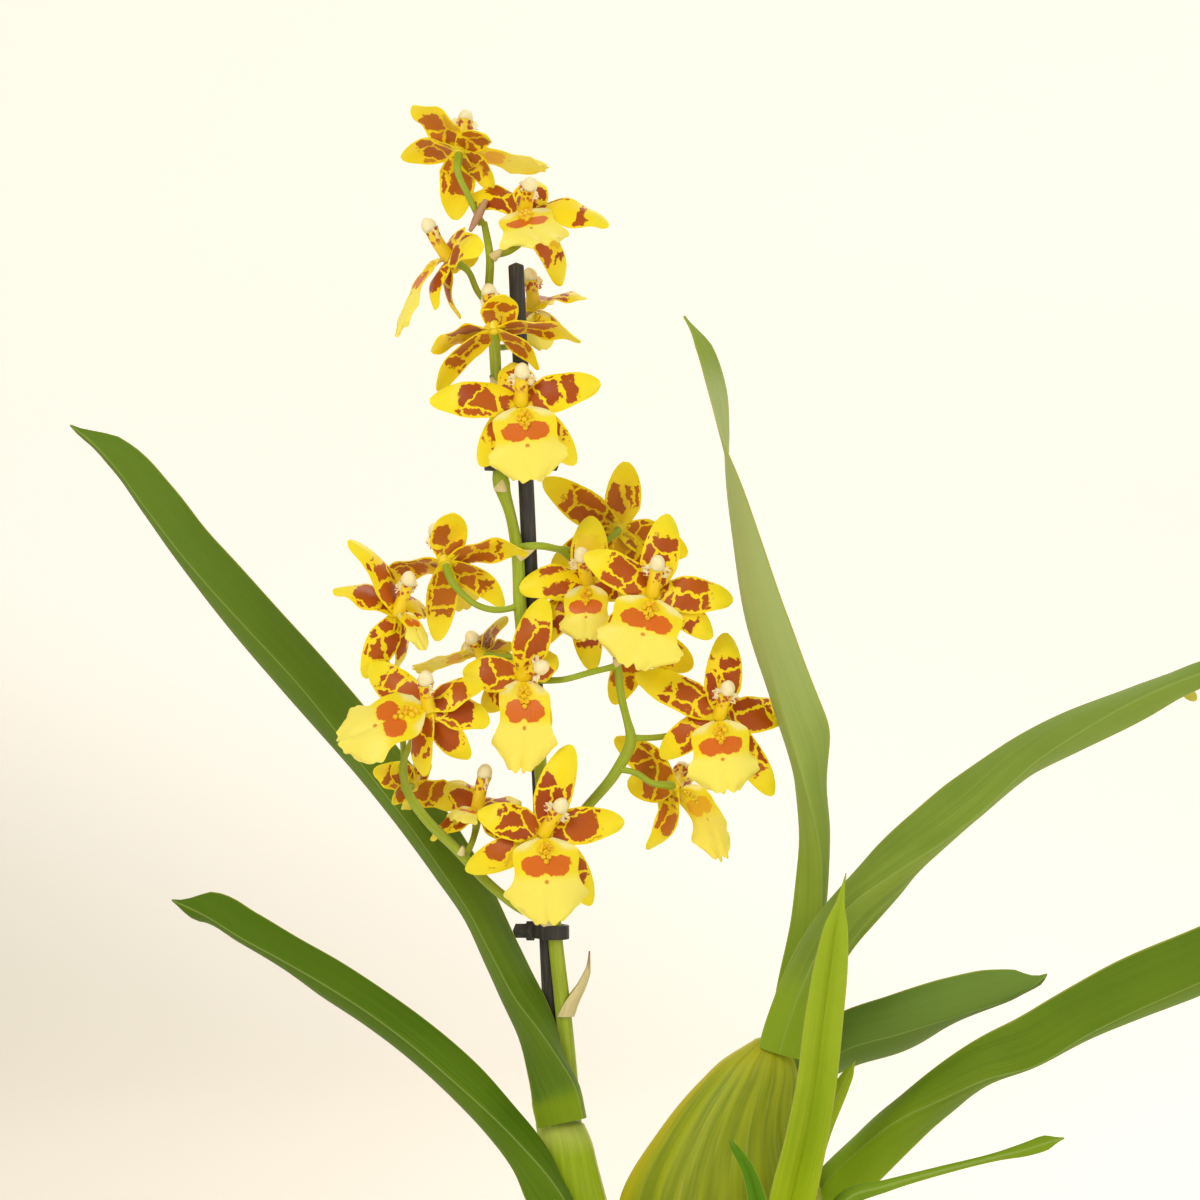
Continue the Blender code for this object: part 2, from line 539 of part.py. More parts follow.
def build_clip(name):
    """A band round the stake and the spike, with a finger tab."""
    height = CLIP_HEIGHTS[name]
    spike, spike_radius = spike_centre(CLIP_PICTURE_Y[name])
    stake = stake_point(spike.z)
    inner = max(spike_radius, STAKE_RADIUS) + 2 * GAP
    curve = bpy.data.curves.new(name, "CURVE")
    curve.dimensions = "2D"
    curve.fill_mode = "BOTH"
    curve.extrude = height / 2
    for reach in (inner + CLIP_WALL, inner):
        points = band_points(stake, spike, reach, 0)
        spline = curve.splines.new("POLY")
        spline.points.add(len(points) - 1)
        spline.use_cyclic_u = True
        for node, point in zip(spline.points, points):
            node.co = (*point, 1)
    obj = bpy.data.objects.new(name + "_band", curve)
    obj.location.z = spike.z
    bpy.data.collections["cutters"].objects.link(obj)
    bpy.context.view_layer.update()
    band = evaluated_mesh(obj)
    bm = bmesh.new()
    bm.from_mesh(band)
    bmesh.ops.remove_doubles(bm, verts=bm.verts, dist=0.001 * MM)
    bm.to_mesh(band)
    bm.free()
    side = CLIP_TAB_SIDE[name]
    edge = max((stake.x, spike.x), key=lambda x: x * side) + side * (inner + CLIP_WALL / 2)
    bm = bmesh.new()
    bmesh.ops.create_cube(bm, size=1)
    size = Vector((CLIP_TAB_LENGTH + CLIP_WALL / 2, CLIP_TAB_THICKNESS, height * 0.9))
    bmesh.ops.scale(bm, vec=size, verts=bm.verts)
    near = stake if abs(stake.x - edge) < abs(spike.x - edge) else spike
    bmesh.ops.translate(bm, vec=(edge + side * size.x / 2, near.y, spike.z), verts=bm.verts)
    return add_part(name, fused_mesh(name, [band, mesh_from(bm, name + "_tab")]), "plastic")


def bulb_mesh(name, rows, depth, around, rings):
    """A flattened bulb lofted through its rows, standing on the potting medium."""
    bm = bmesh.new()
    bmesh.ops.create_uvsphere(bm, u_segments=around, v_segments=rings, radius=1)
    table = smooth_rows([(px, py, 0, wide, deep) for px, py, wide, deep in rows], 60)
    for vertex in bm.verts:
        x, y, z = vertex.co
        across = math.hypot(x, y)
        share = min(max(0.5 + math.asin(max(-1, min(1, z))) / math.pi, 0), 1)
        # The two poles are small flat ends: the rings between them spread over the rows
        level = (share * rings - 1) / (rings - 2) if across > 1e-6 else share
        row = table[round(min(max(level, 0), 1) * (len(table) - 1))]
        centre = seen(row[0], row[1], depth)
        if across > 1e-6:
            centre += Vector((x / across * row[3] * MM, y / across * row[4] * MM, 0))
        vertex.co = centre
    return stood_mesh(mesh_from(bm, name))


def build_leaf(name, rows):
    """A blade of two halves hinged at its midrib."""
    table = smooth_rows(rows, LEAF_SECTIONS)
    ribs = [seen(*row[:3]) for row in table]
    sections = []
    for index, row in enumerate(table):
        ahead = ribs[min(index + 1, len(ribs) - 1)]
        behind = ribs[max(index - 1, 0)]
        along = (ahead - behind).normalized()
        left = along.cross(Vector((0, 1, 0))).normalized()
        back = left.cross(along).normalized()
        if back.y < 0:
            back = -back
        half, roll, fold = row[3] * MM, math.radians(row[4]), math.radians(row[5])
        wing_left = left * math.cos(roll + fold) + back * math.sin(roll + fold)
        wing_right = -left * math.cos(fold - roll) + back * math.sin(fold - roll)
        sections.append((ribs[index] + wing_left * half, ribs[index], ribs[index] + wing_right * half))

    def place(u, v):
        return sections[round(v * (LEAF_SECTIONS - 1))][round(u * 2)]

    mesh = sheet_mesh(name, 2, LEAF_SECTIONS - 1, place, LEAF_THICKNESS)
    if rows[0][1] > MEDIUM_ROW:
        mesh = stood_mesh(mesh)
    slot = "young_leaf" if name in ("leaf_young", "leaf_small_light", "leaf_small_front") else "leaf"
    return add_part(name, mesh, slot)


def tepal_half_width(along):
    """A tepal's half width as a share of its widest, from its narrow foot to its pointed tip."""
    return 0.12 + 0.88 * math.sin(math.pi * min(along, 1) ** 0.85) ** 0.8 if along < 0.99 else 0.1


def tepal_mesh(name, foot, tip, face, width):
    """A slightly back-curved sepal or petal from the hub to its tip."""
    along = tip - foot
    across = along.cross(face).normalized()
    rise = across.cross(along).normalized()
    if rise.dot(face) < 0:
        rise = -rise

    def place(u, v):
        bow = 0.09 * along.length * math.sin(math.pi * v)
        half = width / 2 * tepal_half_width(v)
        cup = 0.10 * half * abs(2 * u - 1)
        return foot + along * v + rise * (bow - cup) + across * half * (2 * u - 1)

    return sheet_mesh(name, 2, 3, place, TEPAL_THICKNESS)


def lip_mesh(name, hub, bend, end, face, width):
    """The lip: a narrow waist and a broad apron, from beside the hub over its bend to its end."""
    foot = hub + (bend - hub).normalized() * (HUB_RADIUS + GAP + LIP_THICKNESS / 2)
    across = (end - foot).cross(face).normalized()
    shares = ((0.0, 0.22), (0.3, 0.75), (0.5, 0.62), (0.78, 1.0), (1.0, 0.45))

    def place(u, v):
        run = foot * (1 - v) ** 2 + bend * 2 * v * (1 - v) + end * v**2
        half = width / 2 * float(np.interp(v, *zip(*shares)))
        return run + across * half * (2 * u - 1)

    return sheet_mesh(name, 2, 4, place, LIP_THICKNESS)


def ball_mesh(name, centre, radius):
    bm = bmesh.new()
    bmesh.ops.create_uvsphere(bm, u_segments=6, v_segments=4, radius=radius)
    bmesh.ops.translate(bm, vec=centre, verts=bm.verts)
    return mesh_from(bm, name)


def build_flower(flower):
    """A flower's sepals, petals and column as one piece, and its lip as another."""
    hub = seen(*flower.hub)
    face = Vector(flower.face).normalized()

    def offset(place):
        return seen(place[0], place[1], flower.hub[2] + place[2])

    widths = (PETAL_WIDTH, PETAL_WIDTH, PETAL_WIDTH, SEPAL_WIDTH, SEPAL_WIDTH)
    solids = [ball_mesh("hub", hub, HUB_RADIUS)]
    for place, width in zip((flower.dorsal, *flower.petals, *flower.sepals), widths):
        tip = offset(place)
        foot = hub + (tip - hub).normalized() * (HUB_RADIUS / 2)
        solids.append(tepal_mesh("tepal", foot, tip, face, width))
    cap = offset(flower.cap)
    bm = bmesh.new()
    run = cap - hub
    bmesh.ops.create_cone(bm, cap_ends=True, segments=6, radius1=COLUMN_FOOT_RADIUS,
                          radius2=COLUMN_HEAD_RADIUS, depth=run.length)
    turn = Vector((0, 0, 1)).rotation_difference(run).to_matrix().to_4x4()
    bmesh.ops.transform(bm, matrix=turn, verts=bm.verts)
    bmesh.ops.translate(bm, vec=(hub + cap) / 2, verts=bm.verts)
    solids.append(mesh_from(bm, "column"))
    add_part(f"flower_{flower.name}", fused_mesh(f"flower_{flower.name}", solids), "tepal")
    bend, end = offset(flower.lip[0]), offset(flower.lip[1])
    lip = lip_mesh(f"lip_{flower.name}", hub, bend, end, face, flower.lip_width * MM)
    add_part(f"lip_{flower.name}", lip, "lip")


def stalk_mesh(flower):
    """A flower's stalk, ending just short of its hub."""
    hub = seen(*flower.hub)
    points = [seen(*place) for place in flower.stalk]
    points.append(hub + (points[-1] - hub).normalized() * (HUB_RADIUS + GAP))
    rows = smooth_rows([tuple(point) for point in points], len(points) + 2)
    radii = np.linspace(STALK_RADIUS * 0.9, STALK_RADIUS * 1.25, len(rows))
    return tube_mesh(f"stalk_{flower.name}", [Vector(row) for row in rows], radii)


def build_spike():
    tubes = [route_mesh("spike", SPIKE, 28), route_mesh("branch_left", BRANCH_LEFT, 11)]
    tubes += [route_mesh("branch_right", BRANCH_RIGHT, 9), route_mesh("branch_top", BRANCH_TOP, 6)]
    tubes.append(route_mesh("aborted_bud", ABORTED_BUD, 4))
    tubes += [stalk_mesh(flower) for flower in FLOWERS]
    return add_part("flower_spike", stood_mesh(fused_mesh("flower_spike", tubes)), "stem")


def build_bract():
    """A dry half-rolled bract that clasps the spike and runs out to a point."""
    rows = [seen(*place) for place in BRACT_PLACE]
    reach = (3.6, 3.7, 3.0, 0.5)
    sweep = (250, 200, 150, 60)

    def place(u, v):
        index = round(v * 3)
        turn = math.radians((u - 0.5) * sweep[index])
        out = Vector((math.cos(turn), math.sin(turn), 0)) * reach[index] * MM
        return rows[index] + out

    return add_part("spike_bract", sheet_mesh("bract", 6, 3, place, BRACT_THICKNESS), "bract")


def build_young_spike():
    """The budding spike: a thin stem with short-stalked buds near its end."""
    solids = [route_mesh("young_stem", YOUNG_SPIKE, 24)]
    for joint, tip in BUDS:
        start, end = seen(*joint), seen(*tip)
        run = (end - start).normalized()
        body = end - run * BUD_LENGTH
        points = [start, body, body + run * BUD_LENGTH * 0.4, end - run * BUD_LENGTH * 0.2, end]
        radii = [0.6 * MM, 0.8 * MM, BUD_RADIUS, BUD_RADIUS * 0.75, 0.3 * MM]
        solids.append(tube_mesh("bud", points, radii))
    return add_part("young_spike", stood_mesh(fused_mesh("young_spike", solids)), "bud")


def main():
    clear_scene()
    new_collection("oncidium")
    new_collection("cutters")
    build_pot()
    build_medium()
    add_part("pseudobulb_large", bulb_mesh("bulb", BULB_LARGE, 0, 20, 12), "bulb")
    add_part("pseudobulb_small", bulb_mesh("bulb", BULB_SMALL, BULB_SMALL_DEPTH, 14, 10), "bulb")
    for name, rows in LEAVES.items():
        build_leaf(name, rows)
    build_stake()
    for name in CLIP_HEIGHTS:
        build_clip(name)
    build_spike()
    build_bract()
    build_young_spike()
    for flower in FLOWERS:
        build_flower(flower)


main()
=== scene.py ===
"""The looks of a potted oncidium: its flowers, leaves, bulbs, branched spike, stake, clips and pot.

Metres, +Z up, the same frame as the solid model. A place on the plant is its point in the 1200 x 1200
picture with a depth in millimetres behind the pot's axis, and seen() turns it into a point in space.
"""

import sys
import logging
import math
from dataclasses import dataclass, field
from enum import Enum
from typing import Sequence

import bpy
import numpy as np
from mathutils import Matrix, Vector


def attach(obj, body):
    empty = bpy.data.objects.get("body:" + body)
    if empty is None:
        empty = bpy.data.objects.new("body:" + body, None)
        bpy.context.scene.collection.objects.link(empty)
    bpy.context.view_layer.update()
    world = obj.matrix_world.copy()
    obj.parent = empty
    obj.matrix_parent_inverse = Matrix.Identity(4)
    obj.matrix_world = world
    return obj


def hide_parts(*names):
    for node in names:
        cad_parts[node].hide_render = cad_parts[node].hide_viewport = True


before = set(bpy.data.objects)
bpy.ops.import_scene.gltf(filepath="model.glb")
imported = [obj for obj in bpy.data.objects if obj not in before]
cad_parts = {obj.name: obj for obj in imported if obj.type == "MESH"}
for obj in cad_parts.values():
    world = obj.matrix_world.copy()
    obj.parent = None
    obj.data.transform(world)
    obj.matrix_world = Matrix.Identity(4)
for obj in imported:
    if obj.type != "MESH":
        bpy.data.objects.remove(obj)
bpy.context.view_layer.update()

log = logging.getLogger("oncidium")
Array = np.ndarray
Colour = tuple[float, float, float]

MM = 0.001
PIXEL = 0.34 * MM
EYE_DISTANCE = 1.3
POT_AXIS_PX = 690
PICTURE_SIZE = 1200
PICTURE_CENTRE = 600
PICTURE_CENTRE_HEIGHT = 0.355
EYE_X = (PICTURE_CENTRE - POT_AXIS_PX) * PIXEL
MEDIUM_TOP = 100 * MM
MEDIUM_ROW = 1300
FOOT_REACH = 30 * MM
BLEND_STEPS = 201
BLEND_REACH = 7


@dataclass(frozen=True)
class FlowerPlan:
    """One flower read off the picture. Depths other than the hub's are counted from the hub."""

    name: str
    hub: tuple[float, float, float]
    face: tuple[float, float, float]
    dorsal: tuple[float, float, float]
    petals: tuple[tuple[float, float, float], ...]
    sepals: tuple[tuple[float, float, float], ...]
    cap: tuple[float, float, float]
    lip: tuple[tuple[float, float, float], ...]
    lip_width: float
    stalk: tuple[tuple[float, float, float], ...]


# Spike rows: picture x, picture y, depth, radius in millimetres
SPIKE = (
    (484, 222, -6, 1.1), (490, 258, -5, 1.4), (489, 290, -5, 1.45), (493, 345, -5, 1.5),
    (496, 383, -5, 1.8), (497, 430, -5, 1.9), (499, 470, -5, 2.1), (501, 482, -5, 3.0),
    (504, 494, -5, 2.4), (508, 506, -5, 2.0), (517, 550, -5, 2.1), (520, 608, -5, 2.2),
    (527, 670, -4, 2.2), (538, 745, -2, 2.2), (546, 830, 1, 2.3), (552, 890, 3.5, 2.4),
    (555, 935, 5, 2.5), (562, 1000, 7.5, 2.7), (567, 1050, 9.5, 2.8), (573, 1120, 12, 2.9),
    (578, 1200, 15, 3.0), (582, 1270, 17, 3.1), (584, 1339, 18, 3.2),
)
BRANCH_LEFT = (
    (552, 922, 4.5, 1.7), (535, 915, 1, 1.7), (520, 908, -2, 1.7), (502, 895, -4, 1.7),
    (485, 880, -5, 1.7), (457, 850, -7, 1.7), (425, 818, -9, 1.7), (412, 800, -10, 1.6),
    (406, 788, -10, 1.5),
)
BRANCH_RIGHT = (
    (548, 850, 2, 1.7), (586, 808, 4, 1.7), (617, 770, 4, 1.9), (631, 738, 3, 1.9),
    (627, 720, 2.5, 1.4), (622, 700, 2, 1.4), (617, 660, 1, 1.3),
)
BRANCH_TOP = (
    (518, 548, -5, 1.4), (529, 546, -8, 1.3), (542, 546, -6.5, 1.3), (558, 549, -1, 1.2),
    (575, 551, 4, 1.2),
)
ABORTED_BUD = ((470, 231, -10, 0.7), (478, 216, -9, 1.5), (486, 200, -10, 0.9))

FLOWERS = (
    FlowerPlan("a", (459, 151, -4), (0.15, 0.55, 0.82), (402, 157, 8), ((414, 104, -14), (455, 219, 12)),
               ((486, 133, -16), (494, 188, 2)), (465, 120, 3), ((497, 157, 10), (548, 168, 12)), 11,
               ((482, 224, -6), (468, 195, -9), (458, 172, -9))),
    FlowerPlan("b", (525, 212, -10), (0.05, -0.75, 0.65), (536, 180, 8), ((466, 195, 11), (609, 223, 2)),
               ((503, 247, 12), (563, 285, 8)), (530, 187, -7), ((524, 222, -10), (544, 243, -18)), 24,
               ((492, 256, -5), (510, 251, -2), (525, 238, -1), (529, 223, -4))),
    FlowerPlan("c", (449, 258, -12), (-0.8, -0.35, 0.45), (462, 228, 8), ((481, 248, -21), (474, 262, 16)),
               ((434, 309, -6), (458, 319, 6)), (431, 228, -3), ((413, 274, -2), (396, 336, -4)), 13,
               ((486, 303, -5), (478, 292, -6), (468, 271, -7))),
    FlowerPlan("d", (494, 330, -24), (0.05, 0.35, 0.93), (504, 294, -10), ((431, 350, 4), (581, 339, 0)),
               ((436, 389, 6), (540, 368, 0)), (489, 295, 2), ((498, 325, 9), (503, 340, 12)), 11,
               ((497, 384, -5), (498, 366, -11), (497, 349, -16))),
    FlowerPlan("e", (534, 308, 3), (0.0, -0.3, 0.95), (540, 300, 20), ((484, 318, 8), (586, 297, -6)),
               ((512, 330, 12), (562, 335, 10)), (530, 279, -1), ((540, 326, -3), (544, 350, -3)), 12,
               ((493, 348, -4), (512, 345, 2), (530, 325, 5))),
    FlowerPlan("f", (521, 403, -24), (0.05, -0.97, 0.2), (512, 362, 11), ((430, 400, -1), (600, 382, 0)),
               ((480, 466, 4), (576, 464, 4)), (522, 373, -6), ((527, 432, -8), (531, 482, -6)), 27,
               ((498, 425, -6), (508, 418, -12), (519, 406, -18))),
    FlowerPlan("g", (618, 529, 16), (0.0, 0.95, 0.2), (626, 462, 2), ((544, 479, 0), (687, 554, 4)),
               ((552, 565, 2), (648, 588, 6)), (618, 518, 9), ((622, 545, 10), (626, 575, 14)), 20,
               ((575, 551, 4), (598, 546, 5), (616, 533, 9))),
    FlowerPlan("h", (587, 583, -3), (-0.1, -0.95, 0.25), (591, 516, 2), ((520, 588, -6), (630, 586, 4)),
               ((536, 648, -2), (592, 672, 6)), (582, 557, -6), ((585, 611, -13), (587, 640, -9)), 19,
               ((560, 549, -0.5), (578, 566, 3), (587, 580, 4))),
    FlowerPlan("i", (652, 594, -16), (0.1, -0.95, 0.25), (668, 514, 4), ((585, 554, -2), (733, 599, 2)),
               ((602, 643, 0), (713, 637, 4)), (657, 565, -6), ((648, 622, -8), (632, 668, -7)), 30,
               ((617, 662, 1), (636, 628, -5), (650, 600, -9))),
    FlowerPlan("j", (719, 716, -4), (0.1, -0.95, 0.25), (726, 633, 2), ((636, 674, 0), (790, 711, 10)),
               ((660, 757, 4), (774, 795, 4)), (727, 690, -6), ((720, 748, -8), (728, 793, -6)), 25,
               ((630, 738, 3), (660, 737, 5), (695, 728, 6), (714, 719, 4))),
    FlowerPlan("k", (675, 786, 8), (0.6, 0.5, -0.1), (616, 737, 2), ((628, 784, 6), (694, 774, 16)),
               ((649, 850, -2), (660, 806, 16)), (680, 769, 8), ((706, 800, 0), (725, 860, 2)), 18,
               ((617, 769, 4), (636, 773, 2), (652, 783, 1), (665, 785, 3))),
    FlowerPlan("l", (445, 563, -10), (-0.1, 0.6, 0.8), (453, 512, -12), ((377, 586, 15), (527, 551, 0)),
               ((437, 640, 10), (504, 605, 8)), (436, 534, 3), ((456, 586, 12), (462, 610, 20)), 14,
               ((520, 606, -5), (498, 610, -9), (475, 604, -14), (453, 583, -16))),
    FlowerPlan("m", (397, 614, -8), (0.5, -0.55, 0.65), (351, 539, -4), ((334, 588, 2), (424, 604, 15)),
               ((365, 678, 0), (398, 670, 8)), (407, 582, -4), ((416, 620, -8), (424, 650, -9)), 10,
               ((405, 790, -10), (403, 742, -9), (398, 702, -8), (393, 674, -7), (381, 652, -4),
                (387, 630, -2))),
    FlowerPlan("n", (522, 676, -12), (-0.1, -0.95, 0.3), (544, 598, 1), ((463, 671, 0), (557, 656, 4)),
               ((482, 709, 3), (546, 736, 4)), (541, 668, -8), ((528, 712, -8), (520, 773, -6)), 22,
               ((617, 666, 1), (592, 672, -5), (560, 680, -6), (530, 679, -6))),
    FlowerPlan("o", (429, 709, -22), (-0.55, -0.7, 0.4), (482, 682, 2), ((369, 664, 10.5), (490, 721, 3)),
               ((422, 776, 3), (468, 760, 7)), (427, 681, -5), ((385, 719, -12), (338, 742, -5)), 27,
               ((406, 788, -10), (402, 770, -11), (410, 745, -12), (425, 716, -14))),
    FlowerPlan("p", (477, 815, -2), (-0.15, -0.45, 0.88), (481, 800, 18), ((449, 781, 8), (520, 800, 6)),
               ((430, 838, 2), (505, 842, 4)), (485, 775, -5), ((468, 808, -7), (455, 820, -10)), 13,
               ((464, 858, -6), (471, 845, -3), (476, 828, 0))),
    FlowerPlan("q", (544, 833, -16), (0.1, -0.95, 0.25), (571, 745, 2), ((478, 813, -1), (624, 821, 2)),
               ((465, 870, 5), (592, 905, 4)), (560, 807, -7), ((547, 866, -8), (548, 925, -6)), 28,
               ((547, 846, 1), (546, 841, -6), (545, 836, -10))),
    FlowerPlan("r", (482, 655, 6), (-0.5, 0.3, 0.6), (506, 616, 2), ((512, 648, 8), (466, 640, 10)),
               ((514, 670, 8), (490, 690, 6)), (474, 641, -2), ((452, 657, -3), (412, 668, -5)), 10,
               ((524, 655, -3), (508, 657, 1), (492, 656, 3))),
    FlowerPlan("t", (640, 645, 14), (0.0, 0.9, 0.2), (668, 606, 6), ((693, 666, 2), (602, 628, 4)),
               ((613, 704, -3), (676, 645, 6)), (638, 640, 9), ((648, 660, 9), (650, 667, 13)), 10,
               ((617, 664, 1), (628, 656, 4), (637, 648, 8))),
    FlowerPlan("v", (411, 787, 4), (-0.2, 0.6, 0.5), (395, 762, -2), ((374, 770, 2), (455, 806, 10)),
               ((392, 803, -3), (430, 762, 5)), (419, 771, 5), ((411, 797, 8), (418, 806, 14)), 10,
               ((406, 789, -10), (408, 788, -5), (410, 787, 0))),
)

# Leaf rows, foot first: picture x, picture y, depth, half width, roll, fold.
# Roll turns the blade about its midrib. Fold bends both halves back from the midrib, both in degrees.
LEAVES = {
    "leaf_left_tall": (
        (582.5, 1119, -13.1, 16, -40, 52), (575, 1088, -12, 16, -40, 51), (559, 1060, -10.5, 15.5, -28, 61),
        (541, 1033, -8.5, 15, -12, 62), (516, 1000, -4.8, 14.5, 4, 61), (492, 956, 3.5, 14.5, 10, 62),
        (469, 912, 11, 14.5, 14, 62), (440, 868, 17.5, 15, 18, 56), (410, 826, 22, 15.2, 20, 53),
        (368, 772, 26, 15.2, 20, 52), (292, 677, 29, 14.5, 14, 49), (254, 636, 29, 14.5, 16, 50),
        (210, 588, 28, 14.2, 21, 51), (178, 550, 27, 13, 25, 51), (146, 508, 25, 12, 33, 47),
        (114, 465, 23, 9.6, 34, 46), (90, 440, 22, 5.5, 30, 40), (70, 425, 21, 1.2, 10, 10),
    ),
    "leaf_left_low": (
        (592, 1338, -24, 7, -20, 52), (588, 1285, -25, 9, -25, 53), (578, 1235, -25.5, 11, -28, 54),
        (564, 1200, -25.5, 12.3, -28, 54), (552, 1182, -25, 12.3, -27, 52), (524, 1149, -22, 11, -8, 52),
        (499, 1123, -20, 10.5, 0, 51), (458, 1085, -18, 10.7, 12, 47), (400, 1036, -16, 11, 12, 50),
        (370, 1014, -15, 11, 11, 51), (325, 985, -15, 11, 12, 51), (280, 959, -14, 10.5, 18, 54),
        (240, 937, -13, 10.2, 26, 50), (205, 915, -12, 8.6, 30, 39), (172, 900, -11, 1.2, 0, 10),
    ),
    "leaf_twisted": (
        (782, 1037, 2, 6, 0, 35), (794, 1010, 4, 8, -15, 45), (808, 975, 7, 11, -24, 58),
        (820, 930, 8, 12.5, -24, 62), (822, 890, 6, 12.5, -16, 63), (819, 846, 2, 12.5, -2, 65),
        (806, 790, -5, 13, 16, 64), (783, 710, -14, 13.5, 50, 30), (758, 620, -18, 13.5, 60, 15),
        (741, 540, -20, 12, 70, 10), (730, 475, -20, 11, 84, 4), (724, 430, -20, 9.5, 102, 0),
        (716, 385, -19, 8, 115, 0), (703, 345, -17, 5.5, 120, 0), (684, 316, -16, 1.2, 125, 0),
    ),
    "leaf_arching": (
        (779, 1054, -8.0, 7.2, 0, 8), (788, 1025, -9.0, 8.5, 3, 30), (803, 985, -10, 11, 8, 45),
        (822, 945, -11.5, 14, 12, 54), (846, 910, -13, 15.5, 14, 57), (894, 874, -14, 16, -3, 57),
        (943, 842, -11, 16, -22, 57), (980, 813, -6, 16, -29, 58), (1033, 764, 2, 14.5, -15, 60),
        (1082, 731, 8, 13.5, -3, 58), (1147, 695, 13, 11, 12, 58), (1188, 678, 15, 8, 10, 56),
        (1246, 660, 18, 1.2, 0, 10),
    ),
    "leaf_short": (
        (775, 1338, 19, 8, 0, 45), (780, 1250, 21, 9, 0, 45), (790, 1160, 21, 10, 0, 45),
        (804, 1100, 19, 11, -5, 44), (822, 1064, 18, 12, -9, 43), (841, 1052, 17, 13, -11, 42),
        (902, 1033, 14, 14, -18, 40), (963, 1014, 11, 13.5, -32, 48), (1008, 999, 9, 11, -37, 48),
        (1034, 985, 8, 6, -30, 40), (1047, 974, 7, 1.2, 0, 10),
    ),
    "leaf_long": (
        (806, 1338, 13, 8, 0, 45), (808, 1270, 13, 10, 10, 48), (817, 1197, 10, 14, 30, 50),
        (862, 1148, 3, 14, 28, 51), (894, 1123, -3, 14.5, 18, 56), (943, 1099, -6, 15, -3, 58),
        (984, 1080, -7, 15.5, -17, 58), (1033, 1066, -5, 16.8, -37, 51), (1090, 1033, -1, 17, -30, 49),
        (1139, 1009, 2, 18, -27, 46), (1200, 982, 6, 18, -23, 45), (1285, 940, 12, 15, -20, 42),
        (1345, 908, 16, 8.5, -10, 34), (1378, 890, 18, 1.2, 0, 10),
    ),
    "leaf_thin": (
        (818, 1338, -14, 4, 0, 40), (824, 1262, -15, 5, 0, 45), (850, 1197, -17, 4.2, 10, 45),
        (885, 1186, -17, 3, 10, 50), (940, 1171, -16, 1.9, 5, 45), (1000, 1156, -15, 1.8, 5, 40),
        (1028, 1149, -14, 2.6, 5, 30), (1046, 1143, -14, 2.8, 5, 30), (1064, 1138, -13, 1.0, 0, 10),
    ),
    "leaf_young": (
        (770, 1338, -20, 7.5, 0, -30), (779, 1270, -22, 8.8, 0, -35), (791, 1200, -23, 9.4, 0, -35),
        (805, 1140, -24, 8.6, 0, -35), (816, 1080, -24, 8.1, 0, -35), (823, 1020, -23, 7.8, 0, -35),
        (831, 960, -22, 6.6, 0, -35), (836, 925, -21.5, 4.4, 0, -30), (840, 903, -21, 1.6, 0, -20),
        (846, 873, -20, 0.7, 0, 0),
    ),
    "leaf_small_light": (
        (790, 1338, -12, 4, 0, 25), (795, 1260, -15, 5, 0, 30), (803, 1190, -17, 5.5, 0, 30),
        (816, 1140, -18, 5, 0, 30), (836, 1098, -17, 3.5, 0, 30), (855, 1061, -16, 0.9, 0, 0),
    ),
    "leaf_small_front": (
        (750, 1338, -27, 4, 0, -25), (758, 1270, -29, 4.4, 0, -30), (757, 1200, -30, 3.6, 0, -30),
        (748, 1170, -29, 2.4, 0, -25), (729, 1139, -28, 0.8, 0, 0),
    ),
}

# Bulb rows, foot first: picture x, picture y, half width, half depth
BULB_LARGE = (
    (716, 1341, 22, 11), (714, 1300, 28, 14), (717, 1250, 32.5, 15.5), (721, 1200, 34, 16),
    (730, 1131, 24, 13), (743, 1094, 18.7, 11), (751, 1077, 16, 10), (758, 1060, 12.3, 8.5),
    (764, 1048, 8, 6.5), (767, 1041, 5, 5),
)
BULB_SMALL = (
    (586, 1341, 12, 9), (584, 1290, 13, 9.5), (578, 1230, 12.5, 9), (573, 1196, 11.2, 8.5),
    (569, 1165, 9.8, 7.8), (565, 1140, 9, 7.2), (560, 1124, 8.3, 6.6),
)
BULB_SMALL_DEPTH = -3

BRACT_PLACE = ((563.6, 1016, 8.2), (568.5, 1001, 7.8), (577, 984, 8), (588, 951, 8))
YOUNG_SPIKE = (
    (768, 1338, 32, 1.9), (775, 1200, 33, 1.8), (786, 1090, 33, 1.7), (806, 1000, 30, 1.6),
    (850, 910, 30, 1.5), (915, 848, 31, 1.4), (985, 792, 34, 1.4), (1060, 748, 37, 1.3),
    (1130, 714, 40, 1.2), (1190, 689, 43, 1.1), (1235, 668, 44, 1.0), (1268, 652, 45, 0.9),
)
BUDS = (
    ((1140, 708, 40), (1151, 682, 38)), ((1152, 704, 40), (1166, 675, 42)),
    ((1176, 695, 42), (1190, 668, 40)), ((1186, 691, 43), (1196, 700, 39)),
    ((1212, 679, 44), (1224, 651, 47)), ((1228, 671, 44), (1243, 690, 40)),
    ((1250, 661, 44), (1264, 634, 42)), ((1268, 652, 45), (1290, 642, 46)),
)

# Scales on the spike: picture x, picture y, depth, way it points in the picture (x, y), length, width in mm
SCALES = (
    (493, 258, -5, 0.8, -0.7, 5, 3.4), (497, 386, -5, -0.6, -0.9, 4.5, 3.4),
    (501, 490, -5, 0.1, -1, 5, 4.6), (519, 556, -5, 0.9, -0.5, 8, 4), (547, 849, 1, 0.9, -0.8, 6, 4),
    (552, 926, 4, -0.9, -0.5, 7, 4), (461, 854, -7, 0.3, -1, 3.6, 2.6),
    (575, 551, 4, 0.5, -0.9, 3.4, 2.6), (617, 665, 1, -0.4, -0.9, 3.4, 2.6),
)


